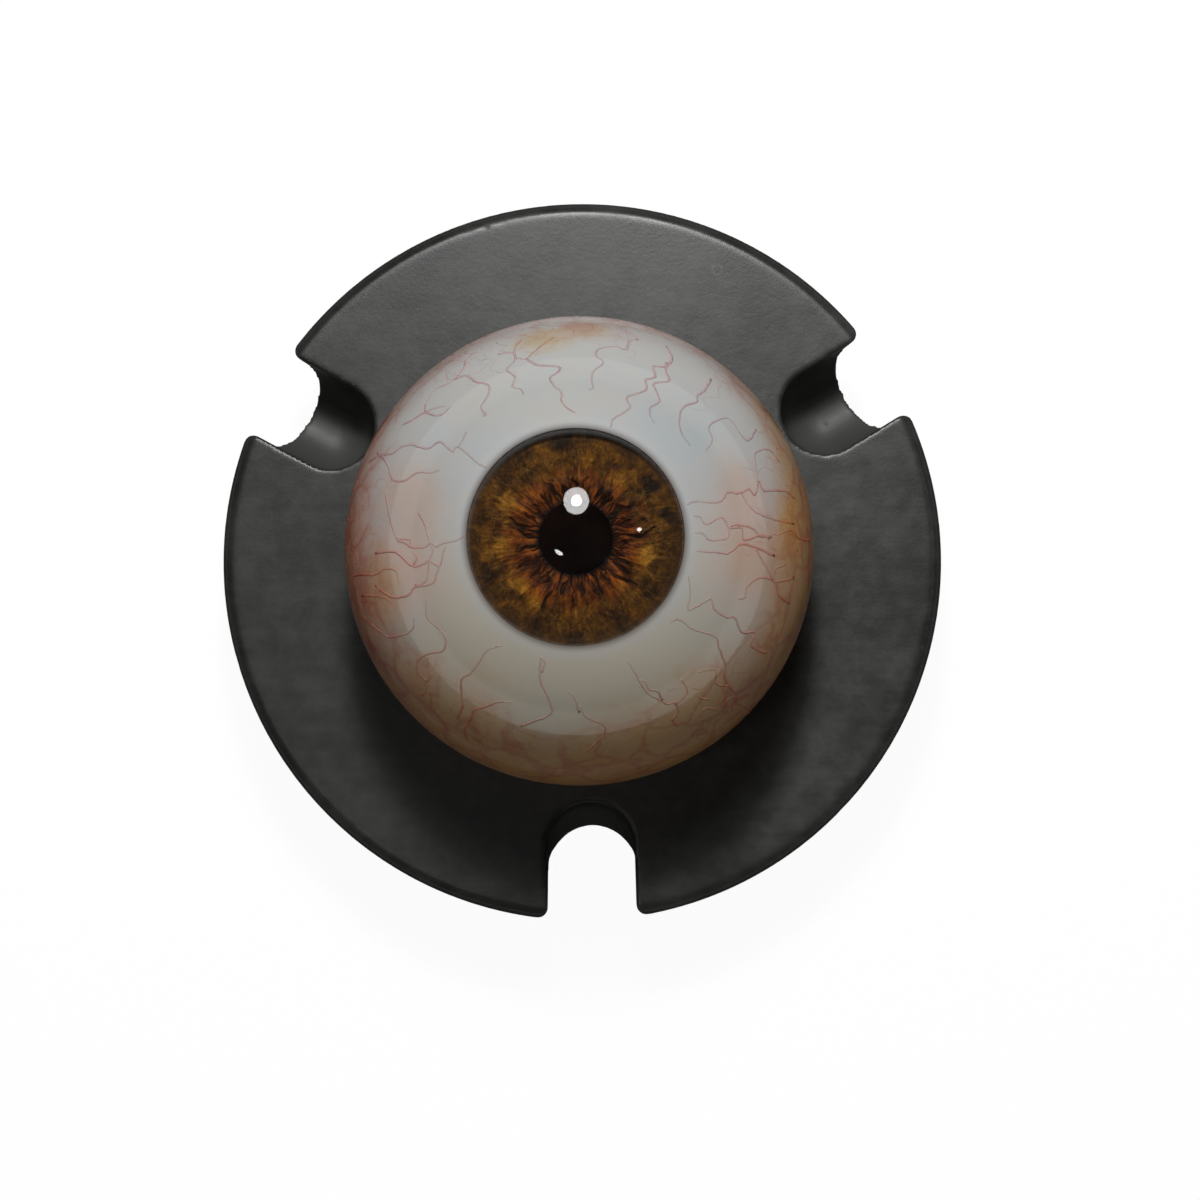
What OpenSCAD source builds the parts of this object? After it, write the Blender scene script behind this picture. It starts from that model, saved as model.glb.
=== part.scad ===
// Enlarged eyeball that comes apart, lying in the cup of a round, grooved stand.
// The origin is the middle of the face the stand rests on, +Z is up and the eye looks up.

/* [Eyeball] */
// Radius of the globe
eye_r = 36; // [34:0.5:38]
// Thickness of the white wall
sclera_t = 3.4; // [2.8:0.1:4]
// Thickness of the vascular layer
choroid_t = 1; // [0.6:0.1:1.4]
// Thickness of the retina
retina_t = 0.8; // [0.5:0.1:1.2]
// Height of the parting plane, measured from the globe's centre
split_z = -3; // [-3:0.5:-1]
// Depth to which the globe dips into the stand
eye_sink = 14; // [12.5:0.5:15]

/* [Cornea and iris] */
// Radius of the opening that the cornea stands in
limbus_r = 16; // [14.5:0.25:17]
// Outer radius of curvature of the cornea
cornea_r = 23; // [21:0.5:26]
// Thickness of the cornea
cornea_t = 1.6; // [1:0.1:2]
// Width of the flange that holds the cornea under the white wall
flange_w = 1.1; // [0.8:0.1:1.3]
// Thickness of that flange
flange_t = 1; // [0.6:0.1:1.2]
// Depth of the iris below the edge of the cornea
iris_drop = 3; // [2.7:0.1:3.5]
// Thickness of the iris at its root
iris_t = 0.9; // [0.6:0.1:1.2]
// Radius of the pupil
pupil_r = 5.3; // [4:0.1:7]
// Radius of the ridge that divides the iris in two zones
collarette_r = 8.4; // [7.5:0.1:9.5]
// Height of that ridge
collarette_h = 0.45; // [0.2:0.05:0.7]
// Depth of the radial folds of the iris
fold_h = 0.22; // [0.1:0.02:0.4]
// Number of radial folds
fold_count = 60; // [40:2:72]

/* [Ciliary body and fibres] */
// Height at which the vascular layer passes into the ciliary body, above the globe's centre
plana_z = 16.5; // [15.5:0.5:18]
// Height of the toothed edge of the retina, above the globe's centre
ora_z = 14; // [10:0.5:15]
// Number of teeth in that edge
tooth_count = 36; // [24:1:44]
// Depth of a tooth
tooth_h = 2.4; // [1:0.2:3]
// Number of ciliary processes
process_count = 72; // [48:1:76]
// Thickness of a process
process_t = 0.6; // [0.4:0.05:0.7]
// Height of a process above the valleys beside it
process_h = 3.2; // [2.6:0.1:3.6]
// Gap between the edge of the lens and the tips of the processes
process_gap = 0.8; // [0.7:0.1:1.2]
// Depth of the crown behind the tips of the processes
crown_back = 1.1; // [0.8:0.1:1.3]
// Diameter of a fibre
fibre_d = 0.4; // [0.3:0.05:0.5]

/* [Lens and vitreous body] */
// Radius of the lens at its edge
lens_r = 13.5; // [12.5:0.25:13.75]
// Radius of curvature of the lens in front
lens_front_r = 31; // [26:1:36]
// Radius of curvature of the lens behind
lens_back_r = 18.5; // [17.5:0.5:22]
// Thickness of the lens at its edge
lens_edge_t = 1.2; // [0.6:0.1:1.6]
// Depth of the vitreous body's front face below the edge of the lens
fossa_drop = 3.3; // [2.6:0.1:3.8]

/* [Optic nerve] */
// Angle between the nerve and the eye's axis
nerve_angle = 13; // [10:1:15]
// Radius of the nerve
nerve_r = 4.4; // [3.6:0.1:4.8]
// Radius of its neck, where it passes the inner layers
neck_r = 2.7; // [2.2:0.1:3.2]
// Wall of the nerve's sheath
sheath_t = 1.6; // [1:0.1:2]
// Depth of the sheath's seat in the white wall
sheath_seat = 1.8; // [1:0.1:2.4]
// Radius of the two vessels in the nerve
vessel_r = 0.5; // [0.4:0.05:0.6]
// Distance of each vessel from the nerve's axis
vessel_x = 1.1; // [0.9:0.1:1.4]
// Width of the dimple where sight is sharpest
fovea_r = 1.6; // [1:0.1:2.4]

/* [Locating pins] */
// Number of pins between the two halves
pin_count = 4; // [3:1:6]
// Radius of a pin
pin_r = 0.8; // [0.6:0.05:0.9]
// Depth of a pin in each half
pin_depth = 2.5; // [1.5:0.1:3]

/* [Stand] */
// Radius of the stand at its widest
base_r = 57; // [55:0.5:60]
// Height of the stand's top above the table
base_h = 24; // [23:0.5:27]
// Slope of the side, inwards to the table, in degrees
base_taper = 30; // [20:1:32]
// Rounding of the top edge
base_fillet = 2; // [1:0.25:3]
// Bevel of the bottom edge
base_bevel = 0.8; // [0.4:0.1:1.5]

/* [Grooves] */
// Width of the grooves and the slot
groove_w = 14; // [12:0.5:15]
// Depth of the two grooves
groove_depth = 14; // [11:0.5:14.5]
// Distance from the stand's axis to the centre of a groove's round end
groove_reach = 45.3; // [44.5:0.1:47]
// Turn of all three from the even thirds, in degrees
groove_turn = 1.7; // [-3:0.1:3]
// Lean of the slot's round end, outwards to the table, in degrees
slot_draft = 9.5; // [0:0.5:12]
// Rounding of the corners where a groove meets the rim
mouth_fillet = 1.6; // [0.8:0.1:2.4]

/* [Seat] */
// Height of the seat ring's pocket
seat_h = 7; // [6:0.25:8]
// Wall of the seat ring at its top
seat_wall = 3.6; // [2.4:0.1:4]
// Drop of the seat ring below the stand's top
seat_drop = 0.4; // [0.2:0.1:1]
// Largest tilt of the eyeball each way, in degrees
tilt_max = 15; // [8:1:16]

/* [Ballast and cover] */
// Wall of the collar round the nerve's well
collar_t = 3; // [2:0.25:3.5]
// Wall between the ballast and the grooves
pocket_wall = 2.6; // [2:0.1:3.5]
// Thickness of the floor under the seat ring
web_t = 3.5; // [2.5:0.25:5]
// Thickness of the bottom cover
cover_t = 2; // [1.6:0.1:2.6]
// Width of the ledge that the cover lies on
ledge_w = 1.4; // [1:0.1:2]
// Thickness of the non-slip pad
pad_t = 1.5; // [1:0.1:2]
// Distance of the pad's edge from the cover's edge
pad_inset = 0.6; // [0.3:0.1:2]
// Number of cover screws
screw_count = 3; // [3:1:3]
// Radius of a cover screw
screw_r = 1.5; // [1.25:0.05:1.6]
// Radius of a screw's head
head_r = 2.8; // [2.4:0.1:3.2]
// Depth of a screw's countersunk head
head_h = 1.5; // [1.2:0.1:1.6]
// Length of a screw
screw_l = 10; // [7:0.5:11]
// Radius of a screw boss
boss_r = 3.4; // [2.8:0.1:3.8]

/* [Clearances] */
// Gap between the globe and its seat
ball_gap = 0.3; // [0.2:0.05:0.5]
// Gap between the glued layers and round glued pieces
layer_gap = 0.1; // [0.05:0.05:0.2]
// Gap between the vitreous body and the retina
vitreous_gap = 0.45; // [0.45:0.05:0.7]
// Gap round the lens
lens_gap = 0.3; // [0.2:0.05:0.5]
// Gap round the seat ring in the stand
turn_gap = 0.1; // [0.05:0.05:0.2]
// Gap round a pin in the front half
pin_gap = 0.1; // [0.06:0.02:0.1]
// Gap round a glued or screwed pin
grip_gap = 0.04; // [0.02:0.01:0.06]
// Gap between the nerve's end and the well
nerve_gap = 1; // [0.8:0.1:1.6]
// Gap round the ballast and the cover
drop_gap = 0.25; // [0.15:0.05:0.4]

/* [Hidden] */
$fn = 128;
over = 1;                 // reach of a cutter past the face that it cuts

// Shells of the globe, from outside in
sclera_in = eye_r - sclera_t;
choroid_out = sclera_in - layer_gap;
choroid_in = choroid_out - choroid_t;
retina_out = choroid_in - layer_gap;
retina_in = retina_out - retina_t;
vitreous_r = retina_in - vitreous_gap;

// Heights in the front of the eye, above the globe's centre
eye_z = base_h + eye_r - eye_sink;
limbus_z = cap_z(eye_r, limbus_r);
cornea_z = limbus_z - cap_z(cornea_r, limbus_r);
iris_top = limbus_z - iris_drop;
iris_under = iris_top - iris_t;
flange_under = iris_top + layer_gap;
flange_top = flange_under + flange_t;
flange_r = limbus_r + flange_w;
chamber_r = flange_r + layer_gap;
cornea_neck = limbus_r - layer_gap;
cornea_bore = cornea_neck - cornea_t;

// Lens and vitreous body
lens_pole = iris_under - lens_gap;
lens_front_z = lens_pole - lens_front_r;
lens_edge_top = lens_front_z + cap_z(lens_front_r, lens_r);
lens_edge_under = lens_edge_top - lens_edge_t;
lens_back_z = lens_edge_under + cap_z(lens_back_r, lens_r);
vitreous_top = lens_edge_under - fossa_drop;

// Ciliary body and fibres
cavity_rise = 1.5;
valley_rise = 0.4;
cavity_z = vitreous_top + cavity_rise;
cavity_r = cap_z(choroid_in, cavity_z);
process_tip = lens_r + process_gap;
process_root = 0.9;
valley_r = process_tip + process_h;
valley_z = lens_edge_under + valley_rise;
crown_r = process_tip + crown_back;
crown_z = iris_under - layer_gap;
crown_under = crown_z - crown_back;
fibre_z = (lens_edge_top + lens_edge_under) / 2;

// Relief of the iris
iris_rings = 10;
collarette_w = 1.1;
pupil_drop = 0.35;
ridge_waves = [7, 11];
ridge_sway = [0.35, 0.2];

// Optic nerve and its well
well_floor = pad_t + cover_t;
sheath_r = nerve_r + layer_gap + sheath_t;
nerve_tip = sqrt(pow(eye_z - well_floor - nerve_gap, 2) - pow(sheath_r, 2));
nerve_proud = 0.4;
vessel_proud = 0.3;
nerve_end = nerve_tip + nerve_proud;
vessel_end = nerve_end + vessel_proud;
sheath_top = eye_r - sheath_seat;
neck_top = sclera_in + layer_gap;
swing = acos(cos(nerve_angle) * cos(tilt_max));
well_r = nerve_tip * sin(swing) + sheath_r * cos(swing) + nerve_gap;

// Pins, set in the middle of the white wall
pin_low_r = cap_z(eye_r, split_z - pin_depth);
pin_pitch_r = (pin_low_r + sclera_in) / 2;
pin_turn = 180 / pin_count;
pin_bevel = 0.25;

// Stand
side_slope = tan(base_taper);
fillet_r = base_r - base_fillet;
fillet_z = base_h - base_fillet;
tangent_r = fillet_r + base_fillet * cos(base_taper);
tangent_z = fillet_z - base_fillet * sin(base_taper);
base_foot_r = tangent_r - (tangent_z - pad_t) * side_slope;
groove_r = groove_w / 2;
groove_floor = base_h - groove_depth + groove_r;
shelf_z = base_h - seat_h;
seat_top = base_h - seat_drop;
seat_ball_r = eye_r + ball_gap;
seat_mouth = cap_z(seat_ball_r, eye_z - seat_top);
seat_r = seat_mouth + seat_wall;
pocket_in = well_r + collar_t;
pocket_out = groove_reach - groove_r - pocket_wall;
pocket_top = shelf_z - web_t;
cover_r = pocket_out + ledge_w;
screw_ring = (pocket_in + pocket_out) / 2;

// Height of a sphere's surface above its centre, at a radius
function cap_z(ball, r) = sqrt(pow(ball, 2) - pow(r, 2));

// Places the eye's pieces, which are drawn round the globe's centre
module at_eye() {
    translate([0, 0, eye_z]) children();
}

// Copies round the vertical axis
module round_copies(count, start = 0) {
    for (i = [0 : count - 1]) rotate(start + i * 360 / count) children();
}

// Spherical layer of the globe
module layer(outer, inner) {
    difference() {
        sphere(r = outer);
        sphere(r = inner);
    }
}

// Everything of the globe between two heights
module slab(low, high) {
    side = 2 * (eye_r + over);
    translate([-side / 2, -side / 2, low]) cube([side, side, high - low]);
}

// Rear part of a layer, open at the parting plane
module rear_layer(outer, inner) {
    difference() {
        layer(outer, inner);
        slab(split_z, eye_r + over);
    }
}

// Front part of a layer, from the parting plane up to a height
module front_layer(outer, inner, top) {
    intersection() {
        layer(outer, inner);
        slab(split_z, top);
    }
}

// Round rod along the nerve's axis, between two distances from the globe's centre
module nerve_rod(r, near, far) {
    rotate([0, nerve_angle, 0]) translate([0, 0, -far]) cylinder(r = r, h = far - near);
}

// Plan of a groove: a round end that opens outwards
module groove_plan() {
    circle(r = groove_r);
    translate([0, -groove_r]) square([base_r, groove_w]);
}

// Ball-nosed groove, open at the top and at the rim
module groove() {
    translate([groove_reach, 0, groove_floor]) {
        linear_extrude(groove_depth) groove_plan();
        sphere(r = groove_r);
        rotate([0, 90, 0]) cylinder(r = groove_r, h = base_r);
    }
}

// Slot cut right through, with its round end leaning outwards to the table
module slot() {
    translate([groove_reach, 0, base_h]) rotate([0, -slot_draft, 0])
        translate([0, 0, -2 * base_h]) linear_extrude(3 * base_h) groove_plan();
}

// Plan of what is taken off a groove's corner to round it
module corner_plan() {
    difference() {
        translate([0, -mouth_fillet - over]) square([3 * mouth_fillet, mouth_fillet + over]);
        circle(r = mouth_fillet);
    }
}

// Rounds one corner at the mouth of a groove, above a height: upright at the rim, leaning along the side
module mouth_corner(low) {
    corner_y = groove_r + mouth_fillet;
    side_r = tangent_r - mouth_fillet / cos(base_taper);
    rim_x = cap_z(base_r - mouth_fillet, corner_y);
    high_x = cap_z(side_r, corner_y);
    low_x = cap_z(side_r - (tangent_z - low) * side_slope, corner_y);
    lean = atan2(high_x - low_x, tangent_z - low);
    intersection() {
        union() {
            translate([rim_x, corner_y, low]) linear_extrude(base_h) corner_plan();
            translate([low_x, corner_y, low]) rotate([0, lean, 0]) translate([0, 0, -base_h])
                linear_extrude(2 * base_h) corner_plan();
        }
        translate([0, 0, low]) cube([2 * base_r, base_r, base_h]);
    }
}

// Both corners at the mouth of a groove
module mouth_corners(low) {
    mouth_corner(low);
    mirror([0, 1, 0]) mouth_corner(low);
}

module base_body() {
    color([0.25, 0.25, 0.24]) difference() {
        union() {
            rotate_extrude() base_section();
            round_copies(screw_count, 90) translate([screw_ring, 0, well_floor])
                cylinder(r = boss_r, h = pocket_top - well_floor + over);
        }
        for (turn = [30, 150]) rotate(turn + groove_turn) {
            groove();
            mouth_corners(groove_floor);
        }
        rotate(270 + groove_turn) {
            slot();
            mouth_corners(groove_floor - groove_r);
        }
        round_copies(screw_count, 90) translate([screw_ring, 0, well_floor - over])
            cylinder(r = screw_r + grip_gap, h = screw_l + over);
    }
}

// Half section of the stand: tapered side, seat pocket, nerve well, ballast pocket and cover recess
module base_section() {
    difference() {
        union() {
            polygon([
                [0, pad_t], [base_foot_r - base_bevel, pad_t],
                [base_foot_r + base_bevel * side_slope, pad_t + base_bevel],
                [tangent_r, tangent_z], [fillet_r, base_h], [0, base_h]
            ]);
            translate([fillet_r, fillet_z]) circle(r = base_fillet);
        }
        translate([0, shelf_z]) square([seat_r + turn_gap, seat_h + over]);
        square([well_r, base_h]);
        translate([0, eye_z]) circle(r = seat_ball_r);
        translate([pocket_in, 0]) square([pocket_out - pocket_in, pocket_top]);
        square([cover_r + drop_gap, well_floor]);
    }
}

module ballast_ring() {
    bevel = 0.6;
    inner = pocket_in + drop_gap;
    outer = pocket_out - drop_gap;
    top = pocket_top - drop_gap;
    color([0.5, 0.5, 0.52]) difference() {
        rotate_extrude() polygon([
            [inner + bevel, well_floor], [outer - bevel, well_floor], [outer, well_floor + bevel],
            [outer, top - bevel], [outer - bevel, top], [inner + bevel, top],
            [inner, top - bevel], [inner, well_floor + bevel]
        ]);
        round_copies(screw_count, 90) translate([screw_ring, 0, 0])
            cylinder(r = boss_r + drop_gap, h = base_h);
    }
}

module bottom_cover() {
    color([0.16, 0.16, 0.16]) difference() {
        translate([0, 0, pad_t]) cylinder(r = cover_r, h = cover_t);
        round_copies(screw_count, 90) translate([screw_ring, 0, pad_t]) screw_shape(grip_gap);
    }
}

// Countersunk screw, or its hole with a gap all round
module screw_shape(gap) {
    translate([0, 0, -gap]) cylinder(r1 = head_r + gap, r2 = screw_r + gap, h = head_h + gap);
    cylinder(r = screw_r + gap, h = screw_l);
}

module cover_screws() {
    recess_w = 0.7;
    recess_l = 3;
    recess_h = 0.9;
    color([0.6, 0.6, 0.6]) round_copies(screw_count, 90) translate([screw_ring, 0, pad_t]) difference() {
        screw_shape(0);
        for (turn = [0, 90]) rotate(turn) cube([recess_l, recess_w, 2 * recess_h], center = true);
    }
}

module foot_pad() {
    bevel = 0.3;
    pad_r = cover_r - pad_inset;
    color([0.1, 0.1, 0.1]) rotate_extrude() polygon([
        [0, 0], [pad_r - bevel, 0], [pad_r, bevel], [pad_r, pad_t], [0, pad_t]
    ]);
}

// Ring with a hollow that fits the globe
module seat_ring() {
    bevel = 0.5;
    color([0.12, 0.12, 0.12]) rotate_extrude() difference() {
        polygon([
            [0, shelf_z], [seat_r, shelf_z], [seat_r, seat_top - bevel],
            [seat_r - bevel, seat_top], [0, seat_top]
        ]);
        translate([0, eye_z]) circle(r = seat_ball_r);
    }
}

module sclera_rear() {
    color([0.9, 0.88, 0.84]) at_eye() difference() {
        rear_layer(eye_r, sclera_in);
        nerve_rod(sheath_r + layer_gap, sheath_top, eye_r + over);
        nerve_rod(nerve_r + layer_gap, sclera_in - over, eye_r);
        pin_holes(grip_gap);
    }
}

module choroid_rear() {
    color([0.45, 0.12, 0.08]) at_eye() difference() {
        rear_layer(choroid_out, choroid_in);
        nerve_rod(neck_r + layer_gap, 0, eye_r);
    }
}

module retina_rear() {
    dimple = 0.5 * retina_t;
    dimple_ball = (pow(fovea_r, 2) + pow(dimple, 2)) / (2 * dimple);
    color([0.85, 0.45, 0.2]) at_eye() difference() {
        rear_layer(retina_out, retina_in);
        nerve_rod(neck_r + layer_gap, 0, eye_r);
        translate([0, 0, dimple_ball - retina_in - dimple]) sphere(r = dimple_ball);
    }
}

module nerve_sheath() {
    color([0.82, 0.78, 0.7]) at_eye() difference() {
        nerve_rod(sheath_r, sheath_top + layer_gap, nerve_tip);
        nerve_rod(nerve_r + layer_gap, 0, nerve_tip + over);
    }
}

// Nerve with a narrow neck through the inner layers and a hollowed disc at its end
module optic_nerve() {
    disc_cup_r = 1.5;
    color([0.93, 0.85, 0.6]) at_eye() difference() {
        union() {
            nerve_rod(nerve_r, neck_top, nerve_end);
            nerve_rod(neck_r, retina_in, neck_top + over);
        }
        rotate([0, nerve_angle, 0]) translate([0, 0, disc_cup_r / 2 - retina_in]) sphere(r = disc_cup_r);
        for (side = [-1, 1]) vessel(side, vessel_r + grip_gap, 0, nerve_tip + eye_r);
    }
}

// Round rod beside the nerve's axis, between two distances from the globe's centre
module vessel(side, r, near, far) {
    rotate([0, nerve_angle, 0]) translate([side * vessel_x, 0, -far]) cylinder(r = r, h = far - near);
}

module central_artery() {
    color([0.75, 0.08, 0.08]) at_eye() vessel(1, vessel_r, retina_in, vessel_end);
}

module central_vein() {
    color([0.15, 0.2, 0.6]) at_eye() vessel(-1, vessel_r, retina_in, vessel_end);
}

// Holes for the locating pins, in whichever half they cut
module pin_holes(gap) {
    round_copies(pin_count, pin_turn) translate([pin_pitch_r, 0, split_z - pin_depth - gap])
        cylinder(r = pin_r + gap, h = 2 * (pin_depth + gap));
}

// Pins with bevelled ends, glued in the rear half
module locating_pins() {
    end_r = pin_r - pin_bevel;
    side_h = pin_depth - pin_bevel;
    color([0.7, 0.7, 0.72]) at_eye() round_copies(pin_count, pin_turn)
        translate([pin_pitch_r, 0, split_z]) rotate_extrude() polygon([
            [0, -pin_depth], [end_r, -pin_depth], [pin_r, -side_h],
            [pin_r, side_h], [end_r, pin_depth], [0, pin_depth]
        ]);
}

// Clear ball, cut flat in front, with the hollow that the lens lies in
module vitreous_body() {
    color([0.8, 0.9, 0.95, 0.4]) at_eye() difference() {
        sphere(r = vitreous_r);
        slab(vitreous_top, eye_r + over);
        translate([0, 0, lens_back_z]) sphere(r = lens_back_r + lens_gap);
    }
}

// Biconvex lens with a narrow cylindrical edge
module lens() {
    color([0.95, 0.93, 0.8, 0.5]) at_eye() intersection() {
        translate([0, 0, lens_front_z]) sphere(r = lens_front_r);
        translate([0, 0, lens_back_z]) sphere(r = lens_back_r);
        cylinder(r = lens_r, h = eye_r);
    }
}

// White front shell with the opening and the seat of the cornea
module sclera_front() {
    color([0.9, 0.88, 0.86]) at_eye() difference() {
        front_layer(eye_r, sclera_in, eye_r + over);
        cylinder(r = limbus_r, h = eye_r + over);
        translate([0, 0, ora_z]) cylinder(r = chamber_r, h = flange_top + layer_gap - ora_z);
        pin_holes(pin_gap);
    }
}

module choroid_front() {
    color([0.45, 0.12, 0.08]) at_eye() front_layer(choroid_out, choroid_in, plana_z - layer_gap);
}

// Front retina, with the toothed edge in which it ends
module retina_front() {
    ora_r = cap_z(retina_in, ora_z);
    notch_h = tooth_h + over;
    notch_share = 0.34;
    notch_w = notch_share * 2 * PI * ora_r / tooth_count;
    cut_in = 0.2 * ora_r;
    color([0.85, 0.45, 0.2]) at_eye() difference() {
        front_layer(retina_out, retina_in, ora_z);
        round_copies(tooth_count, 180 / tooth_count)
            translate([ora_r - cut_in, 0, ora_z - tooth_h]) rotate([90, 0, 90])
                linear_extrude(2 * cut_in) polygon([[0, 0], [notch_w, notch_h], [-notch_w, notch_h]]);
    }
}

// Ring of the ciliary muscle: thin where it leaves the vascular layer, thick behind the iris
module ciliary_ring() {
    rotate_extrude() difference() {
        intersection() {
            circle(r = choroid_out);
            translate([crown_r, plana_z]) square([eye_r, crown_z - plana_z]);
        }
        intersection() {
            circle(r = choroid_in);
            square([eye_r, cavity_z]);
        }
        polygon([
            [0, cavity_z], [cavity_r, cavity_z], [valley_r, valley_z],
            [crown_r, crown_under], [0, crown_under]
        ]);
    }
}

// One fold of the ciliary body: a thin blade that rises towards the lens
module ciliary_process() {
    rotate([90, 0, 0]) translate([0, 0, -process_t / 2]) linear_extrude(process_t) polygon([
        [crown_r + process_root, crown_z - process_root], [crown_r, crown_under],
        [process_tip, lens_edge_top + lens_edge_t], [process_tip, lens_edge_under],
        [valley_r, cavity_z + process_root], [cavity_r - process_root, cavity_z + process_root],
        [valley_r + 2 * process_root, valley_z + process_root]
    ]);
}

module ciliary_body() {
    color([0.35, 0.16, 0.12]) at_eye() {
        ciliary_ring();
        round_copies(process_count) ciliary_process();
    }
}

// Fine ring round the lens, with a fibre to each valley of the ciliary body
module zonule() {
    ring_in = lens_r + lens_gap;
    ring_out = process_tip - layer_gap;
    valley_lean = (valley_r - crown_r) / (crown_under - valley_z);
    fibre_out = valley_r - (fibre_z + fibre_d / 2 - valley_z) * valley_lean - layer_gap;
    color([0.9, 0.88, 0.8]) at_eye() translate([0, 0, fibre_z]) {
        rotate_extrude() translate([ring_in, -fibre_d / 2]) square([ring_out - ring_in, fibre_d]);
        round_copies(process_count, 180 / process_count) rotate([0, 90, 0])
            translate([0, 0, (ring_in + ring_out) / 2])
                cylinder(d = fibre_d, h = fibre_out - (ring_in + ring_out) / 2, $fn = 8);
    }
}

// Height of the iris above its flat root: a wandering ridge, radial folds and a thinner pupil edge
function iris_relief(r, a) =
    let (
        rim = max(0, (cornea_bore - r) / (cornea_bore - pupil_r)),
        sway = ridge_sway[0] * sin(ridge_waves[0] * a) + ridge_sway[1] * cos(ridge_waves[1] * a),
        ridge = collarette_r + sway
    )
    rim * (collarette_h * exp(-pow((r - ridge) / collarette_w, 2)) - pupil_drop * rim)
    + fold_h * cos(fold_count * a) * sin(180 * rim);

// Disc with a folded front face and the pupil, drawn as closed rings of points
module iris() {
    steps = 2 * fold_count;
    spokes = [for (k = [0 : steps - 1]) 180 * k / fold_count];
    front_radii = [for (i = [0 : iris_rings]) pupil_r + (flange_r - pupil_r) * i / iris_rings];
    front = [for (r = front_radii, a = spokes) [r * cos(a), r * sin(a), iris_top + iris_relief(r, a)]];
    back = [for (r = [flange_r, pupil_r], a = spokes) [r * cos(a), r * sin(a), iris_under]];
    loops = iris_rings + 3;
    faces = [
        for (i = [0 : loops - 1], k = [0 : steps - 1])
            let (j = (i + 1) % loops, n = (k + 1) % steps)
            each [
                [i * steps + k, i * steps + n, j * steps + n],
                [i * steps + k, j * steps + n, j * steps + k]
            ]
    ];
    color([0.45, 0.25, 0.08]) at_eye() polyhedron(concat(front, back), faces);
}

module cornea() {
    color([0.85, 0.92, 0.95, 0.3]) at_eye() rotate_extrude() difference() {
        union() {
            intersection() {
                translate([0, cornea_z]) circle(r = cornea_r);
                translate([0, flange_under]) square([cornea_neck, eye_r]);
            }
            translate([0, flange_under]) square([flange_r, flange_t]);
        }
        intersection() {
            translate([0, cornea_z]) circle(r = cornea_r - cornea_t);
            square([cornea_bore, 2 * eye_r]);
        }
    }
}

base_body();
ballast_ring();
bottom_cover();
cover_screws();
foot_pad();
seat_ring();
sclera_rear();
choroid_rear();
retina_rear();
nerve_sheath();
optic_nerve();
central_artery();
central_vein();
locating_pins();
vitreous_body();
lens();
sclera_front();
choroid_front();
retina_front();
ciliary_body();
zonule();
iris();
cornea();
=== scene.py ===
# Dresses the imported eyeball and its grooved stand. Lengths are in metres unless a name or comment says mm.
import math
import random

import bmesh
import bpy
import numpy as np
from mathutils import Matrix, Quaternion, Vector


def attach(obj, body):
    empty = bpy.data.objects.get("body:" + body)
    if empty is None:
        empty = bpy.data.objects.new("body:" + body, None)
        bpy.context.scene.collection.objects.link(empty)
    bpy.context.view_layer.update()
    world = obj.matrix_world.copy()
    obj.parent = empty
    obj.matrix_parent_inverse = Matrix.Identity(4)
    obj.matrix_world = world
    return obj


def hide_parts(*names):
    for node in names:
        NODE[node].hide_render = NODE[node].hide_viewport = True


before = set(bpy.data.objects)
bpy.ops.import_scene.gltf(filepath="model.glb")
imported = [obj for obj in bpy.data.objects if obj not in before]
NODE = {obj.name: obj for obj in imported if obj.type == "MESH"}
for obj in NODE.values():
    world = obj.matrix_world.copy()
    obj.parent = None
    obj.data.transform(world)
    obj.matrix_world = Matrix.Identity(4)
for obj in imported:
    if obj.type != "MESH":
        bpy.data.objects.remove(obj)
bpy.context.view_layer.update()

MM = 0.001
EYE_Z = 46.0            # height of the globe's centre, mm
EYE_R = 36.0            # globe, mm
LIMBUS_R = 16.0         # opening of the white shell, mm
CORNEA_Z, CORNEA_R = 15.73, 23.0    # clear dome: height of its centre, and outer radius, mm
CORNEA_T = 1.6                      # wall of the dome, mm
IRIS_TOP, IRIS_UNDER = 29.25, 28.35
IRIS_R, PUPIL_R = 17.1, 5.3
FOLDS_R = 14.3          # the folds of the iris end here, mm from the axis
SPLIT_Z = -3.0          # joint between the halves, mm from the globe's centre
RETINA_R = 30.6         # inner face of the retina, mm
NERVE_ANGLE = 13.0      # between the nerve and the axis of the eye, degrees
EYE = Vector((0, 0, EYE_Z * MM))

# Camera, as the photograph was taken
PHOTO = 1200            # side of the photograph, pixels
VIEW_DISTANCE = 0.70
VIEW_TILT = (1.0, 3.7)  # degrees to +X and to -Y
PIXEL = 0.1535 * MM     # size of a pixel at the globe's centre
EYE_PIXEL = (579.3, 551.0)
SENSOR = 36.0

# Key lamp: a bright core in a wider disc, as the highlight on the cornea shows
LAMP_TILT = 27.5        # degrees from the vertical, to +Y
LAMP_DISTANCE = 0.60
CORE_ANGLE, CORE_RADIANCE = 7.0, 108.0
HALO_ANGLE, HALO_RADIANCE = 17.6, 12.5
SPARK_DISTANCE, SPARK_ANGLE = 0.8, 2.8
FAR_FLOOR = 0.285       # beyond this the floor shows white in reflections
FLOOR_GLOW = 0.45       # share of the floor's own light, so that it shows white but keeps the shadow

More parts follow.
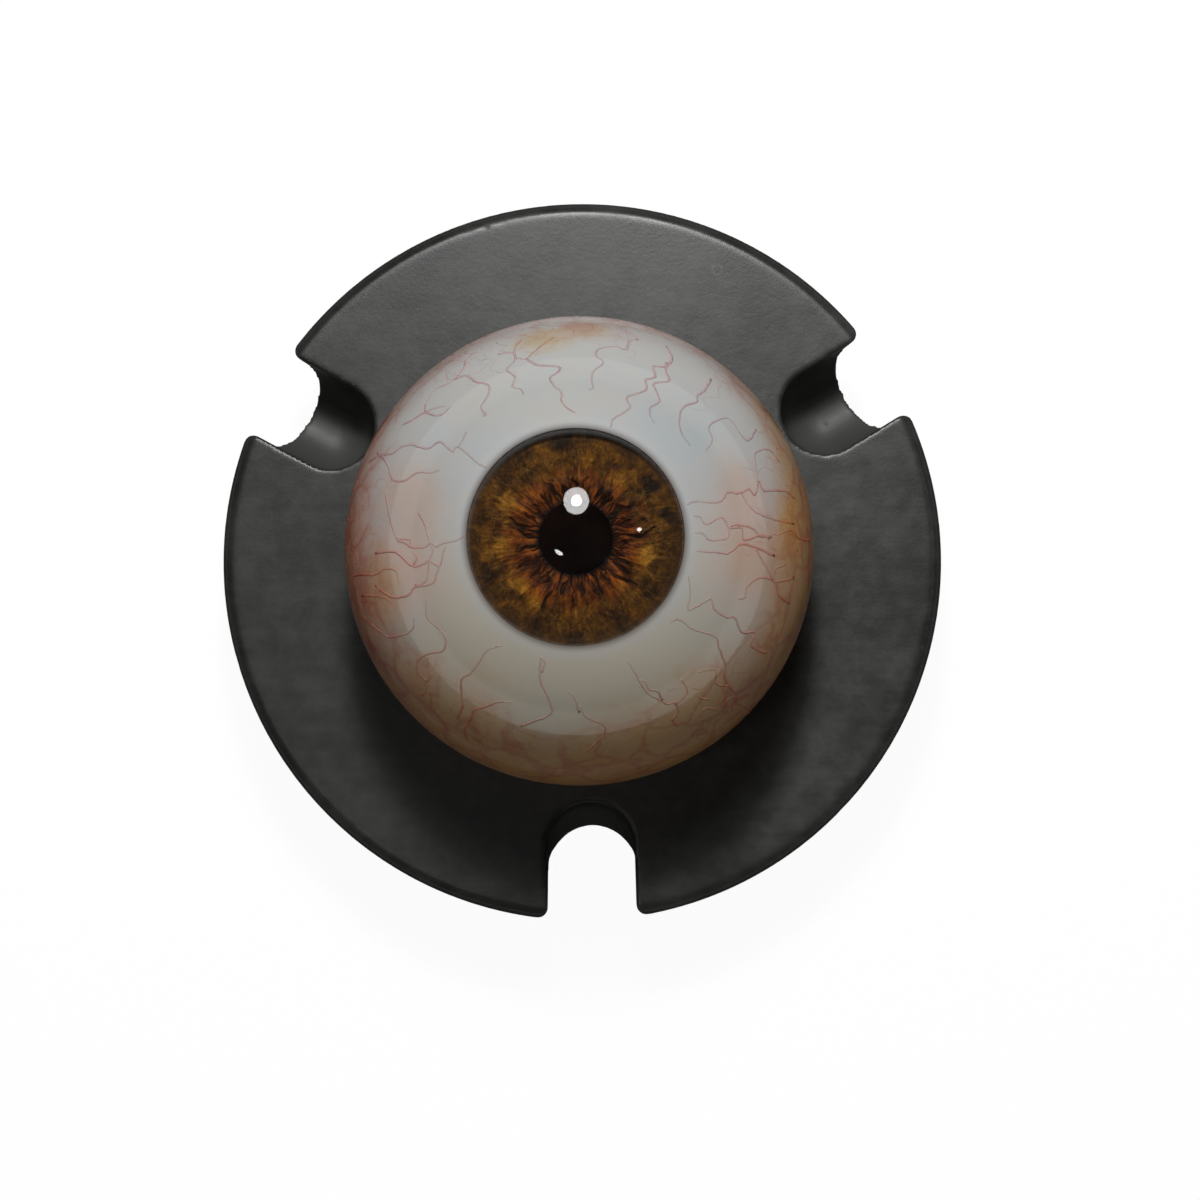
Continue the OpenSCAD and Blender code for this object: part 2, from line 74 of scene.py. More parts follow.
# ---------------------------------------------------------------- node helper
class Nodes:
    """Fills a node tree with short calls that return sockets."""

    def __init__(self, tree):
        self.tree = tree
        self.tree.nodes.clear()

    def put(self, socket, value):
        if isinstance(value, bpy.types.NodeSocket):
            self.tree.links.new(value, socket)
        elif isinstance(value, (tuple, list)) and socket.type == "RGBA":
            socket.default_value = (*value[:3], 1.0)
        else:
            socket.default_value = value

    def add(self, kind, inputs=None, **props):
        n = self.tree.nodes.new(kind)
        for k, v in props.items():
            setattr(n, k, v)
        for k, v in (inputs or {}).items():
            self.put(n.inputs[k], v)
        return n

    def math(self, op, a, b=0.0, clamp=False):
        return self.add("ShaderNodeMath", {0: a, 1: b}, operation=op, use_clamp=clamp).outputs[0]

    def vec(self, op, a, b=(0, 0, 0)):
        n = self.add("ShaderNodeVectorMath", {0: a}, operation=op)
        if op == "SCALE":
            self.put(n.inputs["Scale"], b)
        elif op not in ("LENGTH", "NORMALIZE"):
            self.put(n.inputs[1], b)
        return n.outputs["Value" if op in ("LENGTH", "DOT_PRODUCT", "DISTANCE") else "Vector"]

    def noise(self, vector, scale, detail=2.0, rough=0.5, distortion=0.0):
        n = self.add("ShaderNodeTexNoise", {"Vector": vector, "Scale": scale, "Detail": detail,
                                            "Roughness": rough, "Distortion": distortion})
        return n.outputs["Fac"]

    def cells(self, vector, scale, feature="DISTANCE_TO_EDGE", randomness=1.0):
        n = self.add("ShaderNodeTexVoronoi", {"Vector": vector, "Scale": scale, "Randomness": randomness},
                     feature=feature)
        return n.outputs["Distance"]

    def step(self, value, low, high, start=0.0, end=1.0):
        n = self.add("ShaderNodeMapRange", {"Value": value, "From Min": low, "From Max": high,
                                            "To Min": start, "To Max": end}, interpolation_type="SMOOTHSTEP")
        return n.outputs["Result"]

    def ramp(self, fac, stops):
        n = self.add("ShaderNodeValToRGB", {"Fac": fac})
        ramp = n.color_ramp
        while len(ramp.elements) < len(stops):
            ramp.elements.new(0.5)
        for e, (at, colour) in zip(ramp.elements, stops):
            e.position = at
            e.color = (*colour, 1.0)
        return n.outputs["Color"]

    def mix(self, fac, a, b, blend="MIX"):
        n = self.add("ShaderNodeMix", data_type="RGBA", blend_type=blend)
        for i, v in ((0, fac), (6, a), (7, b)):
            self.put(n.inputs[i], v)
        return n.outputs[2]

    def attribute(self, name):
        return self.add("ShaderNodeAttribute", attribute_name=name).outputs["Fac"]

    def bump(self, height, distance, strength=1.0):
        return self.add("ShaderNodeBump", {"Height": height, "Distance": distance,
                                           "Strength": strength}).outputs["Normal"]

    def split(self, vector):
        return self.add("ShaderNodeSeparateXYZ", {0: vector}).outputs

    def drift(self, vector, scale, detail, amount):
        """A noise vector of the given amount, which bends a pattern when it is added to its place."""
        n = self.add("ShaderNodeTexNoise", {"Vector": vector, "Scale": scale, "Detail": detail})
        return self.vec("SCALE", n.outputs["Color"], amount)


class Shader(Nodes):
    """One node material."""

    def __init__(self, name):
        self.mat = bpy.data.materials.new(name)
        self.mat.use_nodes = True
        super().__init__(self.mat.node_tree)
        self.out = self.add("ShaderNodeOutputMaterial")
        self.coord = self.add("ShaderNodeTexCoord").outputs["Object"]

    def surface(self, shader):
        self.tree.links.new(shader, self.out.inputs["Surface"])

    def finish(self, **inputs):
        """Ends in a Principled shader. Keys are its sockets' names, with _ for a space."""
        n = self.add("ShaderNodeBsdfPrincipled", {k.replace("_", " "): v for k, v in inputs.items()})
        self.surface(n.outputs[0])
        return self.mat


def srgb(r, g, b):
    """A colour given in 0 to 255 display values, as linear light."""
    return tuple(c / 3294.6 if c <= 10 else ((c / 255 + 0.055) / 1.055) ** 2.4 for c in (r, g, b))


def dress(obj, mat):
    if obj.material_slots:
        for s in obj.material_slots:
            s.material = mat
    else:
        obj.data.materials.append(mat)


# ---------------------------------------------------------------- mesh helpers
def add_object(name, mesh, body, slot, mat, *nodes):
    obj = bpy.data.objects.new(name, mesh)
    bpy.context.scene.collection.objects.link(obj)
    for p in mesh.polygons:
        p.use_smooth = True
    obj.data.materials.clear()
    obj.data.materials.append(mat)
    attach(obj, body)
    if nodes:
        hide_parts(*nodes)
    return obj


def grid_mesh(name, loops, closed_loops=True):
    """Mesh from equal loops of points; the last loop joins the first if closed_loops."""
    count, steps = len(loops), len(loops[0])
    points = np.concatenate(loops)
    i, k = np.meshgrid(np.arange(count if closed_loops else count - 1), np.arange(steps), indexing="ij")
    j, n = (i + 1) % count, (k + 1) % steps
    faces = np.stack([i * steps + k, i * steps + n, j * steps + n, j * steps + k], -1).reshape(-1, 4)
    mesh = bpy.data.meshes.new(name)
    mesh.from_pydata(points.tolist(), [], faces.tolist())
    mesh.update()
    return mesh


def smooth_path(points, per_span):
    """Catmull-Rom curve through the points."""
    p = np.array(points, float)
    p = np.vstack([2 * p[0] - p[1], p, 2 * p[-1] - p[-2]])
    t = np.linspace(0, 1, per_span, endpoint=False)[:, None]
    out = []
    for a, b, c, d in zip(p, p[1:], p[2:], p[3:]):
        out.append(0.5 * (2 * b + (c - a) * t + (2 * a - 5 * b + 4 * c - d) * t**2
                          + (3 * b - a - 3 * c + d) * t**3))
    return np.vstack([*out, p[-2:-1]])


class Threads:
    """Flat threads that lie on a sphere round the globe's centre, gathered in one mesh."""

    def __init__(self, radius_mm, inside=False):
        self.radius, self.side = radius_mm, -1 if inside else 1
        self.verts, self.faces, self.strength = [], [], []

    def add(self, directions, widths, strengths, flat=0.12, sides=6):
        """directions: unit vectors from the globe's centre along the thread; widths: its half-widths in mm."""
        d = np.array(directions, float)
        d /= np.linalg.norm(d, axis=1)[:, None]
        along = np.gradient(d, axis=0)
        across = np.cross(d, along)
        across /= np.linalg.norm(across, axis=1)[:, None] + 1e-12
        base = len(self.verts)
        turns = np.arange(sides) * 2 * math.pi / sides
        for v, a, w, s in zip(d, across, widths, strengths):
            for t in turns:
                lift = self.side * w * flat * math.sin(t)
                self.verts.append((v * (self.radius + lift) + a * w * math.cos(t)) * MM)
                self.strength.append(s)
        rings = len(d)
        for i in range(rings - 1):
            for k in range(sides):
                a, b = base + i * sides + k, base + i * sides + (k + 1) % sides
                self.faces.append((a, b, b + sides, a + sides))
        self.faces.append(tuple(base + k for k in reversed(range(sides))))
        self.faces.append(tuple(base + (rings - 1) * sides + k for k in range(sides)))

    def mesh(self, name):
        mesh = bpy.data.meshes.new(name)
        mesh.from_pydata([tuple(Vector(v) + EYE) for v in self.verts], [], self.faces)
        mesh.attributes.new("strength", "FLOAT", "POINT").data.foreach_set("value", self.strength)
        mesh.update()
        return mesh


def ring_noise(turn, depth, around, along, seed):
    """Smooth noise from -1 to 1 that closes round the circle. turn 0..1, depth in cells of its own."""
    table = np.random.default_rng(seed).uniform(-1, 1, (around, along))
    u, v = (turn % 1.0) * around, np.clip(depth, 0, 1) * (along - 1.001)
    i, j = np.floor(u).astype(int), np.floor(v).astype(int)
    fu, fv = u - i, v - j
    fu, fv = fu * fu * (3 - 2 * fu), fv * fv * (3 - 2 * fv)
    i0, i1, j1 = i % around, (i + 1) % around, np.minimum(j + 1, along - 1)
    return ((table[i0, j] * (1 - fu) + table[i1, j] * fu) * (1 - fv)
            + (table[i0, j1] * (1 - fu) + table[i1, j1] * fu) * fv)


def ease(x, low, high):
    t = np.clip((x - low) / (high - low), 0, 1)
    return t * t * (3 - 2 * t)


# ---------------------------------------------------------------- camera and light
def view_axes():
    """Camera place and the picture's right, up and back directions."""
    right_tilt, down_tilt = (math.tan(math.radians(a)) for a in VIEW_TILT)
    back = Vector((right_tilt, -down_tilt, 1)).normalized()
    place = EYE + back * VIEW_DISTANCE
    right = Vector((0, 1, 0)).cross(back).normalized()
    up = back.cross(right)
    middle = PHOTO / 2
    aim = EYE + (right * (middle - EYE_PIXEL[0]) + up * (EYE_PIXEL[1] - middle)) * PIXEL
    back = (place - aim).normalized()
    right = Vector((0, 1, 0)).cross(back).normalized()
    return place, right, back.cross(right), back


def make_camera():
    place, right, up, back = view_axes()
    data = bpy.data.cameras.new("camera")
    data.sensor_width = SENSOR
    data.lens = SENSOR / 2 / (PHOTO / 2 * PIXEL / VIEW_DISTANCE)
    data.clip_start, data.clip_end = 0.01, 20
    cam = bpy.data.objects.new("camera", data)
    cam.matrix_world = Matrix((right, up, back)).transposed().to_4x4()
    cam.location = place
    bpy.context.scene.collection.objects.link(cam)
    bpy.context.scene.camera = cam


def disc_lamp(name, towards, distance, angle, radiance, stretch=1.0, spin=0.0, glint_only=False):
    """Round lamp that looks at the globe and fills the given angle, in degrees, as seen from there."""
    data = bpy.data.lights.new(name, "AREA")
    data.shape = "ELLIPSE"
    data.size = 2 * distance * math.tan(math.radians(angle / 2))
    data.size_y = data.size * stretch
    data.energy = radiance * math.pi * math.pi * data.size * data.size_y / 4
    lamp = bpy.data.objects.new(name, data)
    lamp.location = EYE + towards.normalized() * distance
    lamp.rotation_mode = "QUATERNION"
    lamp.rotation_quaternion = towards.to_track_quat("Z", "Y") @ Quaternion((0, 0, 1), math.radians(spin))
    lamp.visible_diffuse = not glint_only
    lamp.visible_transmission = False   # no second image from the dome's inner face
    bpy.context.scene.collection.objects.link(lamp)


def glint_direction(u, v):
    """Direction of a lamp whose reflection shows u mm right of and v mm above the middle of the cornea's dome."""
    _, right, up, back = view_axes()
    normal = (right * u + up * v) / CORNEA_R
    normal += back * math.sqrt(1 - normal.length_squared)
    return 2 * normal.dot(back) * normal - back


def make_light():
    tilt = math.radians(LAMP_TILT)
    key = Vector((0, math.sin(tilt), math.cos(tilt)))
    disc_lamp("key_core", key, LAMP_DISTANCE, CORE_ANGLE, CORE_RADIANCE, 1.1)
    disc_lamp("key_halo", key, LAMP_DISTANCE * 1.01, HALO_ANGLE, HALO_RADIANCE, 1.15)
    disc_lamp("spark_right", glint_direction(8.9, 2.0), SPARK_DISTANCE, SPARK_ANGLE, 24.0, 1.3,
              glint_only=True)
    disc_lamp("spark_left", glint_direction(-2.6, -1.3), SPARK_DISTANCE, SPARK_ANGLE, 19.0, 2.4, -68,
              glint_only=True)
    world = bpy.data.worlds.new("studio")
    bpy.context.scene.world = world
    world.use_nodes = True
    w = Nodes(world.node_tree)
    path = w.add("ShaderNodeLightPath").outputs
    _, front, height = w.split(w.add("ShaderNodeTexCoord").outputs["Generated"])
    # mirrored: white below the horizon and dark above; diffuse light: weak, and stronger from the front
    ceiling = w.math("MAXIMUM", path["Is Camera Ray"], w.step(height, -0.03, 0.09, 1.0, 0.02))
    fill = w.math("MULTIPLY", w.step(height, 0.15, 0.6, 0.15, 0.02), w.step(front, -0.98, -0.75, 6.0, 1.0))
    seen, ambient = [w.add("ShaderNodeBackground", {"Color": (1, 1, 1), "Strength": strength}).outputs[0]
                     for strength in (ceiling, fill)]
    rays = w.math("MAXIMUM", w.math("MAXIMUM", path["Is Camera Ray"], path["Is Glossy Ray"]),
                  path["Is Transmission Ray"])
    rays = w.math("MULTIPLY", rays, w.math("LESS_THAN", path["Diffuse Depth"], 0.5))
    mix = w.add("ShaderNodeMixShader", {0: rays, 1: ambient, 2: seen})
    w.add("ShaderNodeOutputWorld", {0: mix.outputs[0]})


def make_floor():
    s = Shader("floor_paper")
    # painted shade: the paper is darker within FAR_FLOOR of the middle, round the object, which shows in
    # reflections and in the light the floor throws back, while the camera sees it white
    far = s.step(s.vec("LENGTH", s.coord), FAR_FLOOR - 0.01, FAR_FLOOR + 0.01)
    paper = s.add("ShaderNodeBsdfDiffuse", {"Color": s.mix(far, (0.13, 0.13, 0.13), (0.32, 0.32, 0.32))})
    white = s.add("ShaderNodeEmission", {"Strength": s.step(far, 0.0, 1.0, 2.12, 1.94)})
    path = s.add("ShaderNodeLightPath").outputs
    seen = s.math("MAXIMUM", s.math("MAXIMUM", path["Is Camera Ray"], path["Is Transmission Ray"]),
                  s.math("MULTIPLY", path["Is Glossy Ray"], far))
    seen = s.math("MULTIPLY", seen, s.math("LESS_THAN", path["Diffuse Depth"], 0.5))
    mix = s.add("ShaderNodeMixShader", {0: s.math("MULTIPLY", seen, FLOOR_GLOW), 1: paper.outputs[0],
                                        2: white.outputs[0]})
    s.surface(mix.outputs[0])
    bm = bmesh.new()
    bmesh.ops.create_grid(bm, x_segments=4, y_segments=4, size=4)
    mesh = bpy.data.meshes.new("floor")
    bm.to_mesh(mesh)
    bm.free()
    mesh.materials.append(s.mat)
    floor = bpy.data.objects.new("floor", mesh)
    bpy.context.scene.collection.objects.link(floor)


# ---------------------------------------------------------------- materials
def from_eye(s):
    """Object coordinates in mm from the globe's centre."""
    return s.vec("SCALE", s.vec("SUBTRACT", s.coord, tuple(EYE)), 1000.0)


STAINS = (  # place on the globe, mm from its centre; reach, mm; colour; amount
    ((32.5, 2.5, 14), 8.5, srgb(214, 166, 84), 0.9), ((27, -3, 23), 9, srgb(196, 164, 138), 0.6),
    ((-29, -7, 19), 9, srgb(198, 158, 116), 0.7), ((-33, -6, 12), 8, srgb(192, 128, 90), 0.6),
    ((-24, 5, 26), 8, srgb(194, 176, 162), 0.7), ((-5, 31, 18), 6.5, srgb(200, 178, 142), 0.8),
    ((1, 32, 15), 6, srgb(202, 174, 140), 0.7), ((6, -29, 20), 12, srgb(186, 176, 150), 0.5),
    ((24, 8, 25), 6, srgb(194, 172, 156), 0.5), ((2, -33, 12), 8, srgb(196, 142, 84), 0.5),
)


def sclera_colour(s, p):
    """Painted shell: white, warmer below, with stains, and flushed towards the back of the eye."""
    x, y, z = s.split(p)
    axis_r = s.vec("LENGTH", s.vec("MULTIPLY", p, (1, 1, 0)))
    wide = s.noise(p, 0.09, 3, 0.6)
    fine = s.noise(p, 0.5, 4, 0.6)
    sine = s.math("DIVIDE", y, axis_r)
    white = s.ramp(wide, [(0.3, srgb(181, 187, 189)), (0.5, srgb(188, 189, 187)), (0.72, srgb(191, 187, 180))])
    white = s.mix(s.step(y, 12, -24, 0, 0.72), white, srgb(198, 185, 160))
    corner = s.math("MULTIPLY", s.step(s.math("ABSOLUTE", sine), 0.62, 0.15), s.step(z, 33, 24))
    white = s.mix(s.math("MULTIPLY", corner, s.step(wide, 0.3, 0.6, 0.45, 0.85)), white, srgb(209, 177, 163))
    # painted light: lighter on the upper outer part of the globe, the side towards the lamp
    outward = s.math("MULTIPLY", s.step(axis_r, 24, 33), s.step(y, 2, 16))
    white = s.mix(outward, white, srgb(206, 204, 200))
    for at, size, colour, amount in STAINS:
        near = s.math("ADD", s.vec("DISTANCE", p, at), s.math("MULTIPLY", s.math("SUBTRACT", fine, 0.5), 7.0))
        white = s.mix(s.step(near, 0.25 * size, size, amount, 0.0), white, colour)
    # flush: reaches furthest forward in the two corners of the eye, least at the upper diagonals
    reach = s.math("MULTIPLY", s.math("SUBTRACT", wide, 0.5), 12.0)
    reach = s.math("ADD", reach, s.math("MULTIPLY", s.math("SUBTRACT", 1.0, s.math("MULTIPLY", sine, sine)), 3.5))
    reach = s.math("SUBTRACT", reach, s.math("MULTIPLY", sine, 6.3))
    depth = s.math("SUBTRACT", z, reach)
    blush = s.ramp(s.noise(p, 0.22, 5, 0.6, 0.5), [(0.34, srgb(194, 144, 98)), (0.5, srgb(184, 118, 80)),
                                                   (0.68, srgb(170, 92, 64))])
    white = s.mix(s.step(depth, 20, 3, 0, 0.92), white, blush)
    # yellower below and at the right than in between
    ochre = s.math("MULTIPLY", s.step(depth, 22, 10, 0, 0.6),
                   s.math("MAXIMUM", s.step(sine, -0.4, -0.9), s.step(x, 22, 31)))
    white = s.mix(ochre, white, srgb(202, 158, 92))
    # pink band at the top
    top = s.math("MULTIPLY", s.step(y, 29, 34), s.step(s.noise(p, 0.2, 4, 0.7), 0.35, 0.65))
    white = s.mix(s.math("MULTIPLY", top, 0.5), white, srgb(190, 128, 116))
    # blurred vessels under the surface, and a fine net over them
    blurred = s.step(s.cells(s.vec("ADD", p, s.drift(p, 0.25, 2.0, 5.0)), 0.13), 0.0, 0.11, 1.0, 0.0)
    blurred = s.math("MULTIPLY", blurred, s.step(depth, 21, 9, 0.0, 0.42))
    white = s.mix(blurred, white, srgb(168, 78, 66))
    warp = s.vec("ADD", p, s.drift(p, 0.5, 3.0, 2.6))
    net = s.math("MAXIMUM", s.step(s.cells(warp, 0.3), 0.0, 0.045, 1.0, 0.0),
                 s.math("MULTIPLY", s.step(s.cells(warp, 0.62), 0.0, 0.06, 1.0, 0.0), 0.7))
    net = s.math("MULTIPLY", net, s.step(s.noise(p, 0.16, 2), 0.42, 0.62))
    net = s.math("MULTIPLY", net, s.step(depth, 22, 8, 0.0, 0.28))
    white = s.mix(net, white, srgb(158, 76, 66))
    # soft edge where the wall passes into the clear cornea: a pale ring, then brown
    white = s.mix(s.step(axis_r, 18.6, 17.4, 0, 0.4), white, srgb(192, 193, 193))
    return s.mix(s.step(axis_r, 17.2, 15.3, 0, 0.97), white, srgb(60, 38, 22))


def sclera_material():
    s = Shader("sclera_coated")
    p = from_eye(s)
    grain = s.noise(p, 6.0, 3)
    return s.finish(Base_Color=sclera_colour(s, p), Roughness=0.4, Specular_IOR_Level=0.1, Coat_Weight=0.65,
                    Coat_Roughness=0.04, Normal=s.bump(grain, 0.02 * MM, 0.25))


def vein_material():
    """The shell's own colour with blood added, so that a vein sinks into the flush at the back."""
    s = Shader("vein_thread")
    p = from_eye(s)
    uneven = s.math("MULTIPLY", s.math("SUBTRACT", s.noise(p, 0.7, 3, 0.6), 0.5), 0.7)
    strength = s.math("ADD", s.attribute("strength"), uneven, clamp=True)
    blood = s.ramp(strength, [(0.0, (1.0, 0.90, 0.91)), (0.4, (1.0, 0.56, 0.58)), (1.0, (0.95, 0.30, 0.33))])
    return s.finish(Base_Color=s.mix(1.0, sclera_colour(s, p), blood, "MULTIPLY"), Roughness=0.35,
                    Specular_IOR_Level=0.1, Coat_Weight=0.1, Coat_Roughness=0.2)


def iris_material():
    s = Shader("iris_fibres")
    p = from_eye(s)
    flat = s.vec("MULTIPLY", p, (1, 1, 0))
    axis_r = s.vec("LENGTH", flat)
    turn = s.vec("NORMALIZE", flat)
    wander = s.drift(p, 0.35, 3.0, 0.2)

    def streaks(around, along, detail=3.0, rough=0.6):
        """Noise drawn out along the radius."""
        place = s.add("ShaderNodeCombineXYZ", {2: s.math("MULTIPLY", axis_r, along)}).outputs[0]
        spread = s.vec("SCALE", s.vec("ADD", turn, wander), around)
        return s.noise(s.vec("ADD", s.vec("MULTIPLY", spread, (1, 1, 0)), place), 1.0, detail, rough)

    gold = s.attribute("gold")
    mottle = s.noise(p, 0.36, 6, 0.68, 1.0)
    grain = s.noise(s.vec("ADD", p, wander), 2.2, 3, 0.7)
    tone = s.math("ADD", s.math("MULTIPLY", mottle, 0.75), s.math("MULTIPLY", grain, 0.35))
    tone = s.math("ADD", tone, s.math("MULTIPLY", gold, 0.22))
    outer = s.ramp(tone, [(0.36, srgb(22, 13, 5)), (0.48, srgb(52, 32, 9)), (0.58, srgb(80, 51, 14)),
                          (0.70, srgb(112, 73, 20)), (0.84, srgb(146, 104, 34))])
    spokes = s.math("ADD", s.math("MULTIPLY", streaks(9.0, 0.3), 0.7), s.math("MULTIPLY", mottle, 0.35))
    spokes = s.math("ADD", spokes, s.math("MULTIPLY", gold, 0.12))
    inner = s.ramp(spokes, [(0.36, srgb(18, 10, 6)), (0.46, srgb(50, 26, 12)), (0.56, srgb(94, 48, 18)),
                            (0.70, srgb(150, 80, 26))])
    zone = s.math("ADD", axis_r, s.math("MULTIPLY", s.math("SUBTRACT", mottle, 0.5), 7.0))
    colour = s.mix(s.step(zone, 8.0, 11.5), inner, outer)
    fibre = streaks(30.0, 0.5, 4.0, 0.7)
    colour = s.mix(1.0, colour, s.ramp(fibre, [(0.30, (0.5, 0.47, 0.44)), (0.5, (1.0, 0.99, 0.97)),
                                               (0.70, (1.6, 1.5, 1.3))]), "MULTIPLY")
    # pale threads that cross the outer part
    thread = s.step(s.cells(s.vec("ADD", p, s.vec("SCALE", wander, 4.0)), 0.8), 0.0, 0.05, 0.35, 0.0)
    thread = s.math("MULTIPLY", thread, s.step(s.noise(p, 0.5, 2), 0.48, 0.6))
    colour = s.mix(thread, colour, srgb(118, 96, 50))
    dark = s.math("MULTIPLY", s.step(s.attribute("streak"), 0.0, 1.0, 0, 0.9), s.step(mottle, 0.3, 0.6, 0.65, 1.0))
    colour = s.mix(dark, colour, srgb(17, 10, 7))
    # darker towards the outer edge and round the pupil
    colour = s.mix(s.step(axis_r, 12.6, 16.2, 0, 0.75), colour, srgb(40, 26, 13))
    colour = s.mix(s.step(axis_r, 6.1, 5.4, 0, 0.95), colour, srgb(10, 8, 8))
    return s.finish(Base_Color=colour, Roughness=0.55, Specular_IOR_Level=0.04,
                    Normal=s.bump(fibre, 0.06 * MM, 0.6))


def clear_material(name, colour, ior, rough=0.0, gloss=1.0):
    """Clear plastic; gloss dims the mirror image on its surface."""
    return Shader(name).finish(Base_Color=colour, Roughness=rough, IOR=ior, Transmission_Weight=1.0,
                               Specular_Tint=(gloss,) * 3)


def let_light_in(obj):
    """Lets the lamps reach what lies behind a clear piece, so that it is lit as if bare."""
    obj.visible_shadow = False
    obj.visible_diffuse = False


def stand_material():
    s = Shader("stand_moulded")
    p = s.vec("SCALE", s.coord, 1000.0)
    x, _, z = s.split(p)
    axis_r = s.vec("LENGTH", s.vec("MULTIPLY", p, (1, 1, 0)))
    wide = s.noise(p, 0.05, 4, 0.62)
    mottle = s.noise(p, 0.32, 4, 0.6)
    speck = s.noise(p, 3.2, 3, 0.7)
    brushed = s.noise(s.vec("MULTIPLY", p, (0.05, 0.5, 0.5)), 1.0, 4, 0.65)
    shade = s.math("ADD", s.math("MULTIPLY", wide, 0.45), s.math("MULTIPLY", mottle, 0.35))
    shade = s.math("ADD", shade, s.math("MULTIPLY", brushed, 0.2))
    colour = s.ramp(shade, [(0.41, (0.024, 0.025, 0.022)), (0.5, (0.036, 0.037, 0.033)),
                            (0.6, (0.054, 0.055, 0.05))])
    # painted shade: darker towards the left side, away from where the light falls
    colour = s.mix(s.step(x, 18, -30, 0, 0.4), colour, (0.006, 0.006, 0.006))
    # painted light: the grooves' floors, and all else lower than them outside 40 mm, are lighter; the same mask
    # roughens them below
    groove = s.math("MULTIPLY", s.step(z, 22.0, 17.0), s.step(axis_r, 34, 40))
    colour = s.mix(s.math("MULTIPLY", groove, 0.8), colour, (0.072, 0.073, 0.067))
    colour = s.mix(s.step(speck, 0.66, 0.78, 0, 0.25), colour, (0.085, 0.085, 0.08))
    colour = s.mix(s.step(mottle, 0.64, 0.76, 0, 0.35), colour, (0.014, 0.014, 0.012))
    # rubbed edges: lighter and rougher sharp edges, partly wear and partly a painted highlight where the edges
    # catch the light
    worn_edge_sheen = s.math("MULTIPLY", s.step(s.add("ShaderNodeNewGeometry").outputs["Pointiness"], 0.53, 0.62),
                  s.step(mottle, 0.35, 0.6, 0.3, 1.0))
    colour = s.mix(s.math("MULTIPLY", worn_edge_sheen, 0.12), colour, (0.08, 0.08, 0.075))
    # small round mark on the top
    ring = s.math("ABSOLUTE", s.math("SUBTRACT", s.vec("DISTANCE", p, (21.5, 46.2, 24.0)), 0.75))
    colour = s.mix(s.step(ring, 0.0, 0.3, 0.45, 0.0), colour, (0.11, 0.11, 0.1))
    height = s.math("ADD", s.noise(p, 1.6, 4, 0.7), s.math("MULTIPLY", wide, 2.0))
    rough = s.math("ADD", s.step(shade, 0.36, 0.66, 0.31, 0.37), s.math("MULTIPLY", groove, 0.16))
    rough = s.math("ADD", rough, s.math("MULTIPLY", worn_edge_sheen, 0.2))
    return s.finish(Base_Color=colour, Roughness=rough, Specular_IOR_Level=0.42,
                    Normal=s.bump(height, 0.05 * MM, 0.3))


def rubber_material(name, colour, cell=0.0):
    s = Shader(name)
    p = s.vec("SCALE", s.coord, 1000.0)
    fine = s.noise(p, 2.4, 4, 0.7)
    tone = s.mix(s.step(s.noise(p, 0.12, 3), 0.35, 0.7), colour, tuple(1.7 * c for c in colour))
    height = s.math("MULTIPLY", fine, 0.3)
    if cell:
        dots = s.step(s.cells(p, cell, "F1", 0.0), 0.22, 0.34)
        height = s.math("ADD", height, dots)
        tone = s.mix(dots, tone, tuple(0.6 * c for c in colour))
    return s.finish(Base_Color=tone, Roughness=s.step(fine, 0.3, 0.7, 0.6, 0.8), Specular_IOR_Level=0.35,
                    Normal=s.bump(height, 0.12 * MM, 0.6))


def steel_material(name, turned):
    """Plain steel with the lines of the lathe round the stand's axis, or drawn along Y."""
    s = Shader(name)
    p = s.vec("SCALE", s.coord, 1000.0)
    if turned:
        radius = s.vec("LENGTH", s.vec("MULTIPLY", p, (1, 1, 0)))
        height = s.math("MULTIPLY", s.split(p)[2], 0.3)
        place = s.add("ShaderNodeCombineXYZ", {0: radius, 2: height}).outputs[0]
    else:
        place = s.vec("MULTIPLY", p, (1, 6, 1))
    lines = s.noise(place, 5.0, 4, 0.7)
    tone = s.ramp(lines, [(0.3, (0.34, 0.34, 0.35)), (0.7, (0.56, 0.56, 0.57))])
    return s.finish(Base_Color=tone, Metallic=1.0, Roughness=s.step(lines, 0.3, 0.7, 0.28, 0.45),
                    Normal=s.bump(lines, 0.02 * MM, 0.6))


def tissue_material(name, stops, scale, vessels=None, rough=(0.4, 0.6), depth=0.05, coat=0.0):
    """Painted anatomical layer: clouded colour, a net of vessels where given, and a soft relief."""
    s = Shader(name)
    p = from_eye(s)
    cloud = s.noise(p, scale, 5, 0.62, 0.5)
    colour = s.ramp(cloud, stops)
    height = cloud
    if vessels:
        cell_scale, line, tone, amount = vessels
        warp = s.vec("ADD", p, s.drift(p, cell_scale * 1.6, 2.0, 0.9 / cell_scale))
        net = s.step(s.cells(warp, cell_scale), 0.0, line, amount, 0.0)
        colour = s.mix(net, colour, tone)
        height = s.math("ADD", s.math("MULTIPLY", cloud, 0.4), net)
    return s.finish(Base_Color=colour, Roughness=s.step(cloud, 0.3, 0.7, *rough), Coat_Weight=coat,
                    Coat_Roughness=0.15, Normal=s.bump(height, depth * MM, 0.8))


